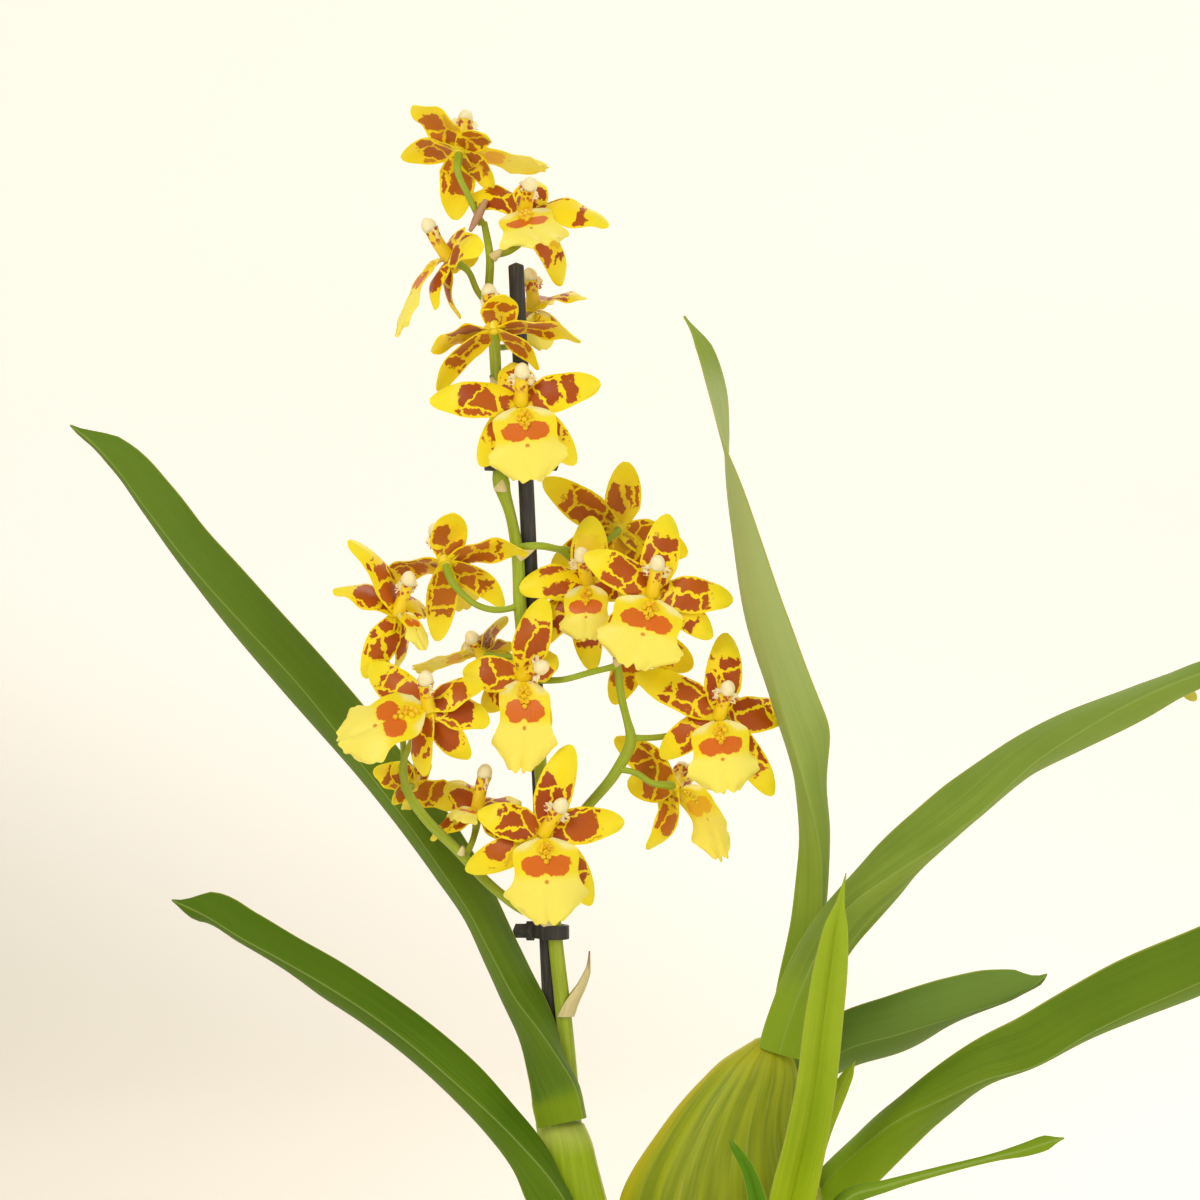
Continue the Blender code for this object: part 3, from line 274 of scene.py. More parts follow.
def seen(px: float, py: float, depth: float) -> Array:
    """The point in space behind a picture point.

    Args:
        px: Picture x in pixels.
        py: Picture y in pixels, downwards.
        depth: Millimetres behind the plane of the pot's axis.

    Returns:
        The point in metres.
    """
    spread = PIXEL * (1 + depth * MM / EYE_DISTANCE)
    return np.array([
        EYE_X + (px - PICTURE_CENTRE) * spread,
        depth * MM,
        PICTURE_CENTRE_HEIGHT + (PICTURE_CENTRE - py) * spread,
    ])


def unit(vector: Array) -> Array:
    """The vector, or each row of vectors, at length one."""
    return vector / (np.linalg.norm(vector, axis=-1, keepdims=True) + 1e-12)


def smooth_rows(rows: Sequence[Sequence[float]], count: int) -> Array:
    """Reads rows at even steps from a smooth curve through the given rows.

    Args:
        rows: Rows of numbers whose first three place them along the curve.
        count: Rows to return.

    Returns:
        An array of count rows.
    """
    table = np.array(rows, float)
    gaps = np.linalg.norm(np.diff(table[:, :3], axis=0), axis=1)
    places = np.concatenate([[0], np.cumsum(gaps)]) / gaps.sum()
    slopes = np.gradient(table, places, axis=0)
    found = []
    for place in np.linspace(0, 1, count):
        i = min(int(np.searchsorted(places, place, side="right")) - 1, len(table) - 2)
        span = places[i + 1] - places[i]
        t = (place - places[i]) / span
        found.append(
            (2 * t**3 - 3 * t**2 + 1) * table[i] + (t**3 - 2 * t**2 + t) * span * slopes[i]
            + (3 * t**2 - 2 * t**3) * table[i + 1] + (t**3 - t**2) * span * slopes[i + 1]
        )
    return np.array(found)


def blend_table(shares: Sequence[tuple[float, float]], at: Array) -> Array:
    """Reads values that are eased between the pairs of a table.

    Args:
        shares: Pairs of a place from 0 to 1 and its value.
        at: The places to read.

    Returns:
        The value at each place.
    """
    places, values = np.array(shares, float).T
    fine = np.linspace(0, 1, BLEND_STEPS)
    plain = np.interp(fine, places, values)
    kernel = np.hanning(2 * BLEND_REACH + 1)
    padded = np.pad(plain, BLEND_REACH, mode="reflect", reflect_type="odd")
    return np.interp(at, fine, np.convolve(padded, kernel / kernel.sum(), mode="valid"))


def ease(value: Array, low: float, high: float) -> Array:
    """A smooth step from 0 at low to 1 at high."""
    t = np.clip((value - low) / (high - low), 0, 1)
    return t * t * (3 - 2 * t)


def sheet_shares(rows: int, columns: int, low: float = -1.0) -> tuple[Array, Array]:
    """Lays even shares over the points of a sheet.

    Args:
        rows: Points along the sheet.
        columns: Points across it.
        low: The share at its first edge, where 1 is the share at the other.

    Returns:
        Each point's share along the sheet, from 0 to 1, and its share across it.
    """
    along, across = np.meshgrid(np.linspace(0, 1, rows), np.linspace(low, 1, columns), indexing="ij")
    return along, across


def ring_faces(rings: int, sides: int) -> list[tuple[int, ...]]:
    """Lists the faces that join closed rings of points, each ring to the next.

    Args:
        rings: Rings of points.
        sides: Points in a ring.

    Returns:
        The faces as indices of points.
    """
    faces = []
    for start in range(0, (rings - 1) * sides, sides):
        for j in range(sides):
            a, b = start + j, start + (j + 1) % sides
            faces.append((a, b, b + sides, a + sides))
    return faces


@dataclass
class Shape:
    """Closed surfaces gathered into one mesh, with two vectors a point for its finish.

    place holds sizes in millimetres or a direction round a tube, and trait holds shares from 0 to 1.
    """

    points: list[Array] = field(default_factory=list)
    places: list[Array] = field(default_factory=list)
    traits: list[Array] = field(default_factory=list)
    faces: list[tuple[int, ...]] = field(default_factory=list)
    slots: list[int] = field(default_factory=list)
    count: int = 0

    def add(self, points: Array, place: Array, trait: Array, faces: Sequence[tuple], slot: int) -> None:
        """Adds one surface.

        Args:
            points: Its points.
            place: One place vector a point.
            trait: One trait vector a point.
            faces: Its faces as indices into the points.
            slot: Index of its finish.
        """
        self.points.append(points)
        self.places.append(place)
        self.traits.append(trait)
        self.faces.extend(tuple(index + self.count for index in face) for face in faces)
        self.slots.extend([slot] * len(faces))
        self.count += len(points)

    def sheet(self, grid: Array, thickness: Array, across: Array, along: Array, seed: float,
              slot: int = 0) -> None:
        """Adds a closed sheet of varying thickness about a grid.

        Args:
            grid: Points in rows along the sheet and columns across it.
            thickness: Thickness at each grid point, in metres.
            across: Share across the sheet at each grid point, from -1 to 1.
            along: Share along the sheet at each grid point, from 0 to 1.
            seed: A number that sets its pattern apart.
            slot: Index of its finish.
        """
        rows, columns = grid.shape[:2]
        normal = unit(np.cross(np.gradient(grid, axis=1), np.gradient(grid, axis=0)))
        offset = normal * thickness[..., None] / 2
        total = rows * columns
        spans = np.linalg.norm(grid - grid[:, columns // 2][:, None], axis=2) * np.sign(across) / MM
        steps = np.linalg.norm(np.diff(grid[:, columns // 2], axis=0), axis=1)
        lengths = np.concatenate([[0], np.cumsum(steps)])[:, None] / MM * np.ones((1, columns))
        place = np.stack([spans, lengths, np.full_like(spans, seed)], axis=2).reshape(-1, 3)
        sides = [np.stack([across, along, np.full_like(across, front)], axis=2) for front in (1, 0)]
        faces: list[tuple] = []
        for i in range(rows - 1):
            for j in range(columns - 1):
                a = i * columns + j
                faces.append((a, a + 1, a + columns + 1, a + columns))
                faces.append((total + a, total + a + columns, total + a + columns + 1, total + a + 1))
        rim = list(range(columns)) + [i * columns + columns - 1 for i in range(1, rows)]
        rim += [(rows - 1) * columns + j for j in range(columns - 2, -1, -1)]
        rim += [i * columns for i in range(rows - 2, 0, -1)]
        faces += [(b, a, total + a, total + b) for a, b in zip(rim, rim[1:] + rim[:1])]
        points = np.concatenate([(grid + offset).reshape(-1, 3), (grid - offset).reshape(-1, 3)])
        trait = np.concatenate([side.reshape(-1, 3) for side in sides])
        self.add(points, np.concatenate([place, place]), trait, faces, slot)

    def tube(self, path: Array, radii: Array, sides: int = 14, slot: int = 0, flat: float = 1.0,
             side_way: Array | None = None) -> None:
        """Adds a closed tube.

        Args:
            path: Its centre points.
            radii: Its radius at each point.
            sides: Points round it.
            slot: Index of its finish.
            flat: Its second radius as a share of the first.
            side_way: Direction of its first radius at its start.
        """
        tangents = unit(np.gradient(path, axis=0))
        way = side_way if side_way is not None else np.array([0.3, 1.0, 0.2])
        angles = np.linspace(0, math.tau, sides, endpoint=False)
        turn = np.stack([np.cos(angles), np.sin(angles)], axis=1)
        lengths = np.concatenate([[0], np.cumsum(np.linalg.norm(np.diff(path, axis=0), axis=1))])
        points, place, trait = [], [], []
        for index, (centre, tangent, radius) in enumerate(zip(path, tangents, radii)):
            way = unit(way - tangent * way.dot(tangent))
            other = np.cross(tangent, way)
            points.append(centre + radius * (turn[:, :1] * way + turn[:, 1:] * other * flat))
            share = index / (len(path) - 1)
            place.append(np.column_stack([turn, np.full(sides, lengths[index] / MM)]))
            trait.append(np.tile([0.0, share, 1.0], (sides, 1)))
        faces = ring_faces(len(path), sides)
        ends = len(path) * sides
        first_pole = path[0] - tangents[0] * radii[0] * 0.4
        points.append(np.array([first_pole, path[-1] + tangents[-1] * radii[-1] * 0.4]))
        place.append(np.array([[0, 0, 0], [0, 0, lengths[-1] / MM]]))
        trait.append(np.array([[0.0, 0.0, 1.0], [0.0, 1.0, 1.0]]))
        last = ends - sides
        faces += [((j + 1) % sides, j, ends) for j in range(sides)]
        faces += [(last + j, last + (j + 1) % sides, ends + 1) for j in range(sides)]
        self.add(np.vstack(points), np.vstack(place), np.vstack(trait), faces, slot)

    def blob(self, start: Array, end: Array, radius: float, slot: int = 0, fullness: float = 0.5,
             sides: int = 12, rings: int = 9) -> None:
        """Adds a rounded body between two points.

        Args:
            start: One end.
            end: The other end.
            radius: Its widest radius.
            slot: Index of its finish.
            fullness: Where along it the widest place lies, from 0 to 1.
            sides: Points round it.
            rings: Rings along it.
        """
        share = (1 - np.cos(np.linspace(0.04, math.pi - 0.04, rings))) / 2
        bent = share ** (math.log(0.5) / math.log(fullness))
        radii = radius * np.sqrt(np.clip(1 - (2 * bent - 1) ** 2, 0.004, 1))
        self.tube(start + (end - start) * share[:, None], radii, sides, slot)

    def stand(self) -> None:
        """Draws the shape's foot down or up until it just reaches the potting medium."""
        lowest = min(float(part[:, 2].min()) for part in self.points)
        move = MEDIUM_TOP - lowest
        for part in self.points:
            part[:, 2] += move * np.clip(1 - (part[:, 2] - lowest) / FOOT_REACH, 0, None)

    def mesh(self, name: str) -> bpy.types.Mesh:
        """Makes a bare mesh of the gathered surfaces.

        Args:
            name: The mesh's name.

        Returns:
            The mesh.
        """
        mesh = bpy.data.meshes.new(name)
        mesh.from_pydata(np.vstack(self.points).tolist(), [], self.faces)
        return mesh

    def piece(self, name: str, finishes: Sequence[bpy.types.Material], slot: str, nodes: Sequence[str],
              sharp: float = 50.0) -> None:
        """Turns the gathered surfaces into a finished piece.

        Args:
            name: The piece's name.
            finishes: Its materials, in the order of the slots used.
            slot: The record's material slot; not used.
            nodes: The solid nodes that it stands for.
            sharp: Angle in degrees past which an edge stays sharp.
        """
        mesh = self.mesh(name)
        for label, rows in (("place", self.places), ("trait", self.traits)):
            layer = mesh.attributes.new(label, "FLOAT_VECTOR", "POINT")
            layer.data.foreach_set("vector", np.vstack(rows).astype(np.float32).ravel())
        for finish in finishes:
            mesh.materials.append(finish)
        mesh.polygons.foreach_set("material_index", np.array(self.slots, np.int32))
        mesh.shade_smooth()
        mesh.set_sharp_from_angle(angle=math.radians(sharp))
        mount(name, mesh, nodes)


def linked(name: str, data: bpy.types.ID) -> bpy.types.Object:
    """Makes an object and links it to the scene.

    Args:
        name: Its name.
        data: Its mesh, camera or light.

    Returns:
        The object.
    """
    made = bpy.data.objects.new(name, data)
    bpy.context.scene.collection.objects.link(made)
    return made


def worked(source: bpy.types.Object) -> bpy.types.Mesh:
    """Works out what an object's modifiers make of it.

    Args:
        source: An object of the scene.

    Returns:
        The mesh that results.
    """
    bpy.context.view_layer.update()
    graph = bpy.context.evaluated_depsgraph_get()
    return bpy.data.meshes.new_from_object(source.evaluated_get(graph), depsgraph=graph)


def mount(name: str, mesh: bpy.types.Mesh, nodes: Sequence[str]) -> None:
    """Places a mesh in the scene as a piece of the object.

    Args:
        name: The piece's name.
        mesh: Its mesh, already in place.
        nodes: The solid nodes that it stands for.
    """
    mesh.update()
    piece = linked(name, mesh)
    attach(piece, "root")
    if nodes:
        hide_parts(*nodes)
    log.info("%s: %d faces", name, len(mesh.polygons))


class Graph:
    """Short calls that add and join shader nodes in one tree."""

    def __init__(self, tree: bpy.types.NodeTree) -> None:
        """Keeps the tree that the calls add to."""
        self.tree = tree

    def feed(self, socket: bpy.types.NodeSocket, value: object) -> None:
        """Links a socket to another, or sets its plain value.

        Args:
            socket: The input to fill.
            value: A socket, or a plain value.
        """
        if isinstance(value, bpy.types.NodeSocket):
            self.tree.links.new(value, socket)
        else:
            socket.default_value = value

    def node(self, kind: str, inputs: dict | None = None, **settings: object) -> bpy.types.Node:
        """Adds a node.

        Args:
            kind: The node's type name.
            inputs: Values or sockets for its inputs, by name or index.
            settings: Its other settings.

        Returns:
            The node.
        """
        made = self.tree.nodes.new(kind)
        for key, value in settings.items():
            setattr(made, key, value)
        for key, value in (inputs or {}).items():
            self.feed(made.inputs[key], value)
        return made

    def math(self, operation: str, first: object, second: object = 0.5) -> bpy.types.NodeSocket:
        """The result of a sum on one or two values."""
        return self.node("ShaderNodeMath", {0: first, 1: second}, operation=operation).outputs[0]

    def add(self, first: object, second: object) -> bpy.types.NodeSocket:
        """Two values added."""
        return self.math("ADD", first, second)

    def sub(self, first: object, second: object) -> bpy.types.NodeSocket:
        """The second value taken from the first."""
        return self.math("SUBTRACT", first, second)

    def mul(self, first: object, second: object) -> bpy.types.NodeSocket:
        """Two values multiplied."""
        return self.math("MULTIPLY", first, second)

    def size(self, value: object) -> bpy.types.NodeSocket:
        """A value without its sign."""
        return self.math("ABSOLUTE", value)

    def ease(self, value: object, low: float, high: float, start: float = 0.0,
             end: float = 1.0) -> bpy.types.NodeSocket:
        """A smooth step from start at low to end at high."""
        inputs = {"Value": value, "From Min": low, "From Max": high, "To Min": start, "To Max": end}
        return self.node("ShaderNodeMapRange", inputs, interpolation_type="SMOOTHSTEP").outputs[0]

    def mix(self, factor: object, first: object, second: object) -> bpy.types.NodeSocket:
        """A colour between two colours."""
        first, second = (c if isinstance(c, bpy.types.NodeSocket) else (*c, 1.0) for c in (first, second))
        return self.node("ShaderNodeMix", {0: factor, 6: first, 7: second}, data_type="RGBA").outputs[2]

    def noise(self, vector: object, scale: object, detail: float = 2.0) -> bpy.types.NodeSocket:
        """A soft noise from 0 to 1."""
        inputs = {"Vector": vector, "Scale": scale, "Detail": detail}
        return self.node("ShaderNodeTexNoise", inputs).outputs["Fac"]

    def scaled(self, vector: object, factors: Sequence[float]) -> bpy.types.NodeSocket:
        """A vector with each part multiplied."""
        inputs = {0: vector, 1: tuple(factors)}
        return self.node("ShaderNodeVectorMath", inputs, operation="MULTIPLY").outputs[0]

    def read(self, name: str) -> tuple[bpy.types.NodeSocket, list[bpy.types.NodeSocket]]:
        """A stored vector of the surface, whole and in its three parts."""
        vector = self.node("ShaderNodeAttribute", attribute_name=name).outputs["Vector"]
        return vector, list(self.node("ShaderNodeSeparateXYZ", {0: vector}).outputs)

    def own(self) -> bpy.types.NodeSocket:
        """Object coordinates in metres."""
        return self.node("ShaderNodeTexCoord").outputs["Object"]

    def group(self, tree: bpy.types.NodeTree, inputs: dict) -> bpy.types.NodeSocket:
        """Places a shared node group with its own values.

        Args:
            tree: The group's tree.
            inputs: Values or sockets for its inputs, by name.

        Returns:
            The group's one output.
        """
        return self.node("ShaderNodeGroup", inputs, node_tree=tree).outputs["Value"]

    def streaks(self, place: object, across: float, along: float) -> bpy.types.NodeSocket:
        """Fine lines along a blade, with counts a millimetre each way."""
        return self.group(SharedEffect.STREAKS.tree(), {"Vector": place, "Across": across, "Along": along})

    def mottle(self, scale: float) -> bpy.types.NodeSocket:
        """Soft clouds, with a count a metre."""
        return self.group(SharedEffect.MOTTLE.tree(), {"Vector": self.own(), "Scale": scale})

    def cells(self, scale: float, output: str) -> bpy.types.NodeSocket:
        """One output of a cell pattern, with a count a metre."""
        return self.node("ShaderNodeTexVoronoi", {"Vector": self.own(), "Scale": scale}).outputs[output]

    def round_lines(self, around: float, lengthwise: float) -> bpy.types.NodeSocket:
        """A vector that turns a noise into lines along a tube.

        Args:
            around: How fast it changes round the tube.
            lengthwise: How fast it changes along the tube.

        Returns:
            The vector.
        """
        _, (round_x, round_y, length) = self.read("place")
        parts = {0: self.mul(round_x, around), 1: self.mul(round_y, around), 2: self.mul(length, lengthwise)}
        return self.node("ShaderNodeCombineXYZ", parts).outputs[0]


class SharedEffect(Enum):
    """Shader groups that several finishes use."""

    STREAKS = "fine_streaks"
    MOTTLE = "soft_mottle"

    def tree(self) -> bpy.types.NodeTree:
        """Finds the effect's node group, or builds it on its first use.

        Returns:
            The group's tree.
        """
        found = bpy.data.node_groups.get(self.value)
        if found:
            return found
        tree = bpy.data.node_groups.new(self.value, "ShaderNodeTree")
        tree.interface.new_socket(name="Vector", in_out="INPUT", socket_type="NodeSocketVector")
        for label in ("Across", "Along") if self is SharedEffect.STREAKS else ("Scale",):
            tree.interface.new_socket(name=label, in_out="INPUT", socket_type="NodeSocketFloat")
        tree.interface.new_socket(name="Value", in_out="OUTPUT", socket_type="NodeSocketFloat")
        graph = Graph(tree)
        taken = graph.node("NodeGroupInput").outputs
        given = graph.node("NodeGroupOutput")
        if self is SharedEffect.STREAKS:
            parts = graph.node("ShaderNodeSeparateXYZ", {0: taken["Vector"]}).outputs
            wide = graph.mul(parts[0], taken["Across"])
            deep = graph.mul(parts[1], taken["Along"])
            joined = graph.node("ShaderNodeCombineXYZ", {0: wide, 1: deep, 2: parts[2]}).outputs[0]
            value = graph.noise(joined, 1.0, 3.0)
        else:
            value = graph.ease(graph.noise(taken["Vector"], taken["Scale"], 4.0), 0.3, 0.7)
        graph.feed(given.inputs["Value"], value)
        return tree


def begin_finish(name: str, roughness: float) -> tuple[bpy.types.Material, Graph, bpy.types.Node]:
    """Makes a material with its own shader.

    Args:
        name: The finish's name.
        roughness: Its even roughness.

    Returns:
        The material, its graph and its Principled shader.
    """
    material = bpy.data.materials.new(name)
    material.use_nodes = True
    shader = material.node_tree.nodes["Principled BSDF"]
    shader.inputs["Roughness"].default_value = roughness
    return material, Graph(material.node_tree), shader


def emboss(graph: Graph, shader: bpy.types.Node, height: bpy.types.NodeSocket, strength: float,
           reach: float) -> None:
    """Feeds a height into the shader's normal.

    Args:
        graph: The finish's graph.
        shader: Its shader.
        height: The height, from 0 to 1.
        strength: How strongly it shows.
        reach: How high a height of 1 stands, in metres.
    """
    bump = graph.node("ShaderNodeBump", {"Height": height, "Strength": strength, "Distance": reach})
    graph.feed(shader.inputs["Normal"], bump.outputs[0])


def soften(shader: bpy.types.Node, weight: float, reach: float, tint: Colour) -> None:
    """Lets light pass into thin living tissue.

    Args:
        shader: The finish's shader.
        weight: How much light enters.
        reach: How far it travels, in metres.
        tint: How far each of red, green and blue goes.
    """
    shader.inputs["Subsurface Weight"].default_value = weight
    shader.inputs["Subsurface Radius"].default_value = tint
    shader.inputs["Subsurface Scale"].default_value = reach


@dataclass(frozen=True)
class TepalFinish:
    """Yellow tissue with chestnut blotches parted by thin yellow lines, and a plain yellow tip."""

    yellow: Colour = (0.95, 0.69, 0.004)
    pale: Colour = (0.96, 0.76, 0.02)
    chestnut: Colour = (0.37, 0.062, 0.002)
    rust: Colour = (0.47, 0.105, 0.003)
    olive: Colour = (0.55, 0.36, 0.006)
    blotch_size: float = 9.0
    tip_start: float = 0.68
    margin_start: float = 0.84

    def build(self) -> bpy.types.Material:
        """Builds the finish.

        Returns:
            Its material.
        """
        material, graph, shader = begin_finish("tepal_blotched", 0.42)
        place, _ = graph.read("place")
        _, (across, along, front) = graph.read("trait")
        wobble = graph.node("ShaderNodeTexNoise", {"Vector": place, "Scale": 0.45, "Detail": 2.0})
        shift = graph.scaled(wobble.outputs["Color"], (3.4, 3.4, 0))
        warped = graph.node("ShaderNodeVectorMath", {0: place, 1: shift}, operation="ADD").outputs[0]
        cells = graph.scaled(warped, (1 / self.blotch_size, 0.9 / self.blotch_size, 3.7))
        layout = {"Vector": cells, "Scale": 1.0, "Randomness": 0.8}
        edge = graph.node("ShaderNodeTexVoronoi", layout, feature="DISTANCE_TO_EDGE").outputs["Distance"]
        tone = graph.node("ShaderNodeTexVoronoi", layout).outputs["Color"]
        tones = graph.node("ShaderNodeSeparateXYZ", {0: tone}).outputs
        jag = graph.sub(graph.noise(place, 0.55, 2.0), 0.5)
        blotch = graph.ease(graph.add(edge, graph.mul(jag, 0.09)), 0.040, 0.062)
        end = graph.add(along, graph.mul(jag, 0.24))
        far = graph.ease(end, self.tip_start, self.tip_start + 0.03, 1.0, 0.0)
        near = graph.ease(end, 0.08, 0.13)
        out = graph.add(graph.size(across), graph.mul(jag, 0.40))
        side = graph.ease(out, self.margin_start, self.margin_start + 0.06, 1.0, 0.0)
        whole = graph.ease(tones[0], 0.02, 0.05)
        brown = blotch
        for mask in (far, near, side, whole):
            brown = graph.mul(brown, mask)
        grain = graph.streaks(place, 2.6, 0.35)
        body = graph.mix(graph.ease(along, 0.5, 1.0), self.yellow, self.pale)
        wash = graph.mul(graph.ease(graph.size(across), 0.15, 0.75, 1.0, 0.0),
                          graph.ease(along, 0.35, 0.85, 1.0, 0.0))
        behind = graph.sub(1.0, front)
        body = graph.mix(graph.mul(wash, graph.mul(behind, 0.5)), body, self.olive)
        mark = graph.mix(graph.ease(graph.add(tones[1], graph.mul(grain, 0.5)), 0.3, 1.2),
                         self.chestnut, self.rust)
        cover = graph.mul(brown, graph.sub(1.0, graph.mul(behind, 0.10)))
        graph.feed(shader.inputs["Base Color"], graph.mix(cover, body, mark))
        shader.inputs["Specular IOR Level"].default_value = 0.25
        lift = graph.add(graph.mul(grain, 0.6), graph.mul(brown, 0.5))
        emboss(graph, shader, lift, 0.35, 0.4 * MM)
        soften(shader, 0.35, 1.6 * MM, (1.0, 0.7, 0.05))
        return material


@dataclass(frozen=True)
class LipFinish:
    """Clear yellow that pales on the lower lobe, with an orange-brown patch in two halves."""

    yellow: Colour = (0.95, 0.71, 0.008)
    pale: Colour = (0.97, 0.79, 0.12)
    cream: Colour = (0.95, 0.86, 0.42)
    patch: Colour = (0.67, 0.15, 0.003)
    stripe: Colour = (0.72, 0.26, 0.010)

    def build(self) -> bpy.types.Material:
        """Builds the finish.

        Returns:
            Its material.
        """
        material, graph, shader = begin_finish("lip_patched", 0.40)
        place, (wide, _, _) = graph.read("place")
        _, (across, along, front) = graph.read("trait")
        jag = graph.sub(graph.noise(place, 0.45, 3.0), 0.5)
        off = graph.size(across)
        body = graph.mix(graph.ease(along, 0.45, 0.62), self.yellow, self.pale)
        shoulder = graph.mul(graph.ease(off, 0.4, 0.7), graph.ease(along, 0.12, 0.24, 1.0, 0.0))
        body = graph.mix(graph.mul(shoulder, 0.75), body, self.cream)
        lobes = graph.size(graph.sub(off, 0.32))
        span = graph.math("POWER", graph.math("DIVIDE", lobes, 0.46), 2.0)
        drop = graph.math("DIVIDE", graph.sub(along, 0.40), 0.135)
        ring = graph.add(span, graph.math("POWER", graph.size(drop), 2.0))
        ring = graph.add(ring, graph.mul(jag, 1.2))
        patch = graph.ease(ring, 0.86, 1.06, 1.0, 0.0)
        dot = graph.add(graph.math("POWER", graph.math("DIVIDE", off, 0.07), 2.0), graph.math(
            "POWER", graph.size(graph.math("DIVIDE", graph.sub(along, 0.59), 0.024)), 2.0))
        patch = graph.math("MAXIMUM", patch, graph.ease(dot, 0.6, 1.2, 0.8, 0.0))
        bands = graph.math("SINE", graph.mul(wide, 3.6), 0.0)
        heart = graph.mul(graph.ease(off, 0.16, 0.26, 1.0, 0.0), graph.ease(along, 0.18, 0.27, 1.0, 0.0))
        stripes = graph.mul(graph.ease(bands, 0.25, 0.6), heart)
        seen_side = graph.add(0.45, graph.mul(front, 0.55))
        colour = graph.mix(graph.mul(patch, seen_side), body, self.patch)
        colour = graph.mix(graph.mul(stripes, 0.35), colour, self.stripe)
        shader.inputs["Specular IOR Level"].default_value = 0.3
        grain = graph.streaks(place, 1.4, 0.3)
        groove = graph.ease(off, 0.0, 0.06)
        graph.feed(shader.inputs["Base Color"], colour)
        emboss(graph, shader, graph.add(grain, graph.mul(groove, 0.6)), 0.3, 0.5 * MM)
        soften(shader, 0.4, 1.8 * MM, (1.0, 0.75, 0.08))
        return material


@dataclass(frozen=True)
class ColumnFinish:
    """Yellow tissue with red-brown spots."""

    yellow: Colour = (0.92, 0.66, 0.01)
    spot: Colour = (0.48, 0.09, 0.01)

    def build(self) -> bpy.types.Material:
        """Builds the finish.

        Returns:
            Its material.
        """
        material, graph, shader = begin_finish("column_spotted", 0.4)
        _, (_, along, _) = graph.read("trait")
        cells = graph.cells(600.0, "Distance")
        near_top = graph.mul(graph.ease(along, 0.35, 0.6), graph.ease(cells, 0.40, 0.50, 1.0, 0.0))
        graph.feed(shader.inputs["Base Color"], graph.mix(near_top, self.yellow, self.spot))
        emboss(graph, shader, graph.sub(1.0, cells), 0.15, 0.3 * MM)
        soften(shader, 0.3, 1.5 * MM, (1.0, 0.7, 0.1))
        return material


@dataclass(frozen=True)
class CreamFinish:
    """Waxy cream of the anther cap and the fringed wings beside it."""

    cream: Colour = (0.95, 0.86, 0.52)
    blush: Colour = (0.92, 0.66, 0.30)
    mark: Colour = (0.50, 0.10, 0.02)

    def build(self) -> bpy.types.Material:
        """Builds the finish.

        Returns:
            Its material.
        """
        material, graph, shader = begin_finish("cap_cream", 0.35)
        _, (across, along, _) = graph.read("trait")
        mottle = graph.mottle(520.0)
        body = graph.mix(graph.mul(mottle, 0.4), self.cream, self.blush)
        flecks = graph.cells(620.0, "Distance")
        wing = graph.mul(graph.ease(across, 0.02, 0.2), graph.ease(along, 0.5, 0.8, 1.0, 0.0))
        flecked = graph.mul(wing, graph.ease(flecks, 0.36, 0.46, 1.0, 0.0))
        graph.feed(shader.inputs["Base Color"], graph.mix(flecked, body, self.mark))
        emboss(graph, shader, mottle, 0.15, 0.2 * MM)
        soften(shader, 0.4, 1.5 * MM, (1.0, 0.8, 0.5))
        return material


@dataclass(frozen=True)
class WartFinish:
    """Yellow warts of the lip with orange tips."""

    yellow: Colour = (0.94, 0.62, 0.01)
    orange: Colour = (0.72, 0.20, 0.01)

    def build(self) -> bpy.types.Material:
        """Builds the finish.

        Returns:
            Its material.
        """
        material, graph, shader = begin_finish("wart_tipped", 0.35)
        _, (_, along, _) = graph.read("trait")
        bumps = graph.mottle(700.0)
        tip = graph.ease(graph.add(along, graph.mul(bumps, 0.3)), 0.95, 1.2, 0.0, 0.8)
        graph.feed(shader.inputs["Base Color"], graph.mix(tip, self.yellow, self.orange))
        emboss(graph, shader, bumps, 0.15, 0.2 * MM)
        soften(shader, 0.3, 1.5 * MM, (1.0, 0.7, 0.1))
        return material


@dataclass(frozen=True)
class LeafFinish:
    """Green blade with fine parallel veins, a faint midrib and a thin yellowish margin."""

    name: str
    deep: Colour
    light: Colour
    base: Colour
    tip: Colour
    base_reach: float = 0.28
    base_cover: float = 0.75
    tip_span: tuple[float, float] = (0.35, 0.85)
    tip_end: float = 1.0
    rib: Colour = (0.34, 0.42, 0.12)
    margin: Colour = (0.40, 0.40, 0.07)

    def build(self) -> bpy.types.Material:
        """Builds the finish.

        Returns:
            Its material.
        """
        material, graph, shader = begin_finish(self.name, 0.45)
        place, (wide, _, _) = graph.read("place")
        _, (across, along, _) = graph.read("trait")
        off = graph.size(across)
        fine = graph.streaks(place, 1.9, 0.012)
        tone = graph.add(graph.mul(fine, 0.5), graph.mul(graph.streaks(place, 0.42, 0.006), 0.5))
        tone = graph.add(tone, graph.mul(graph.sub(graph.mottle(26.0), 0.5), 0.18))
        body = graph.mix(graph.ease(tone, 0.26, 0.74), self.deep, self.light)
        far = graph.mul(graph.ease(along, *self.tip_span, 0.0, 0.85),
                         graph.ease(along, 0.88, 0.95, 1.0, self.tip_end))
        body = graph.mix(far, body, self.tip)
        foot = graph.ease(along, self.base_reach * 0.4, self.base_reach, self.base_cover, 0.0)
        body = graph.mix(foot, body, self.base)
        body = graph.mix(graph.ease(graph.size(wide), 0.10, 0.34, 0.4, 0.0), body, self.rib)
        body = graph.mix(graph.ease(off, 0.955, 0.985, 0.0, 0.7), body, self.margin)
        graph.feed(shader.inputs["Base Color"], body)
        graph.feed(shader.inputs["Roughness"], graph.ease(fine, 0.2, 0.8, 0.55, 0.7))
        shader.inputs["Specular IOR Level"].default_value = 0.12
        emboss(graph, shader, fine, 0.30, 0.35 * MM)
        soften(shader, 0.12, 1.2 * MM, (0.4, 1.0, 0.1))
        return material


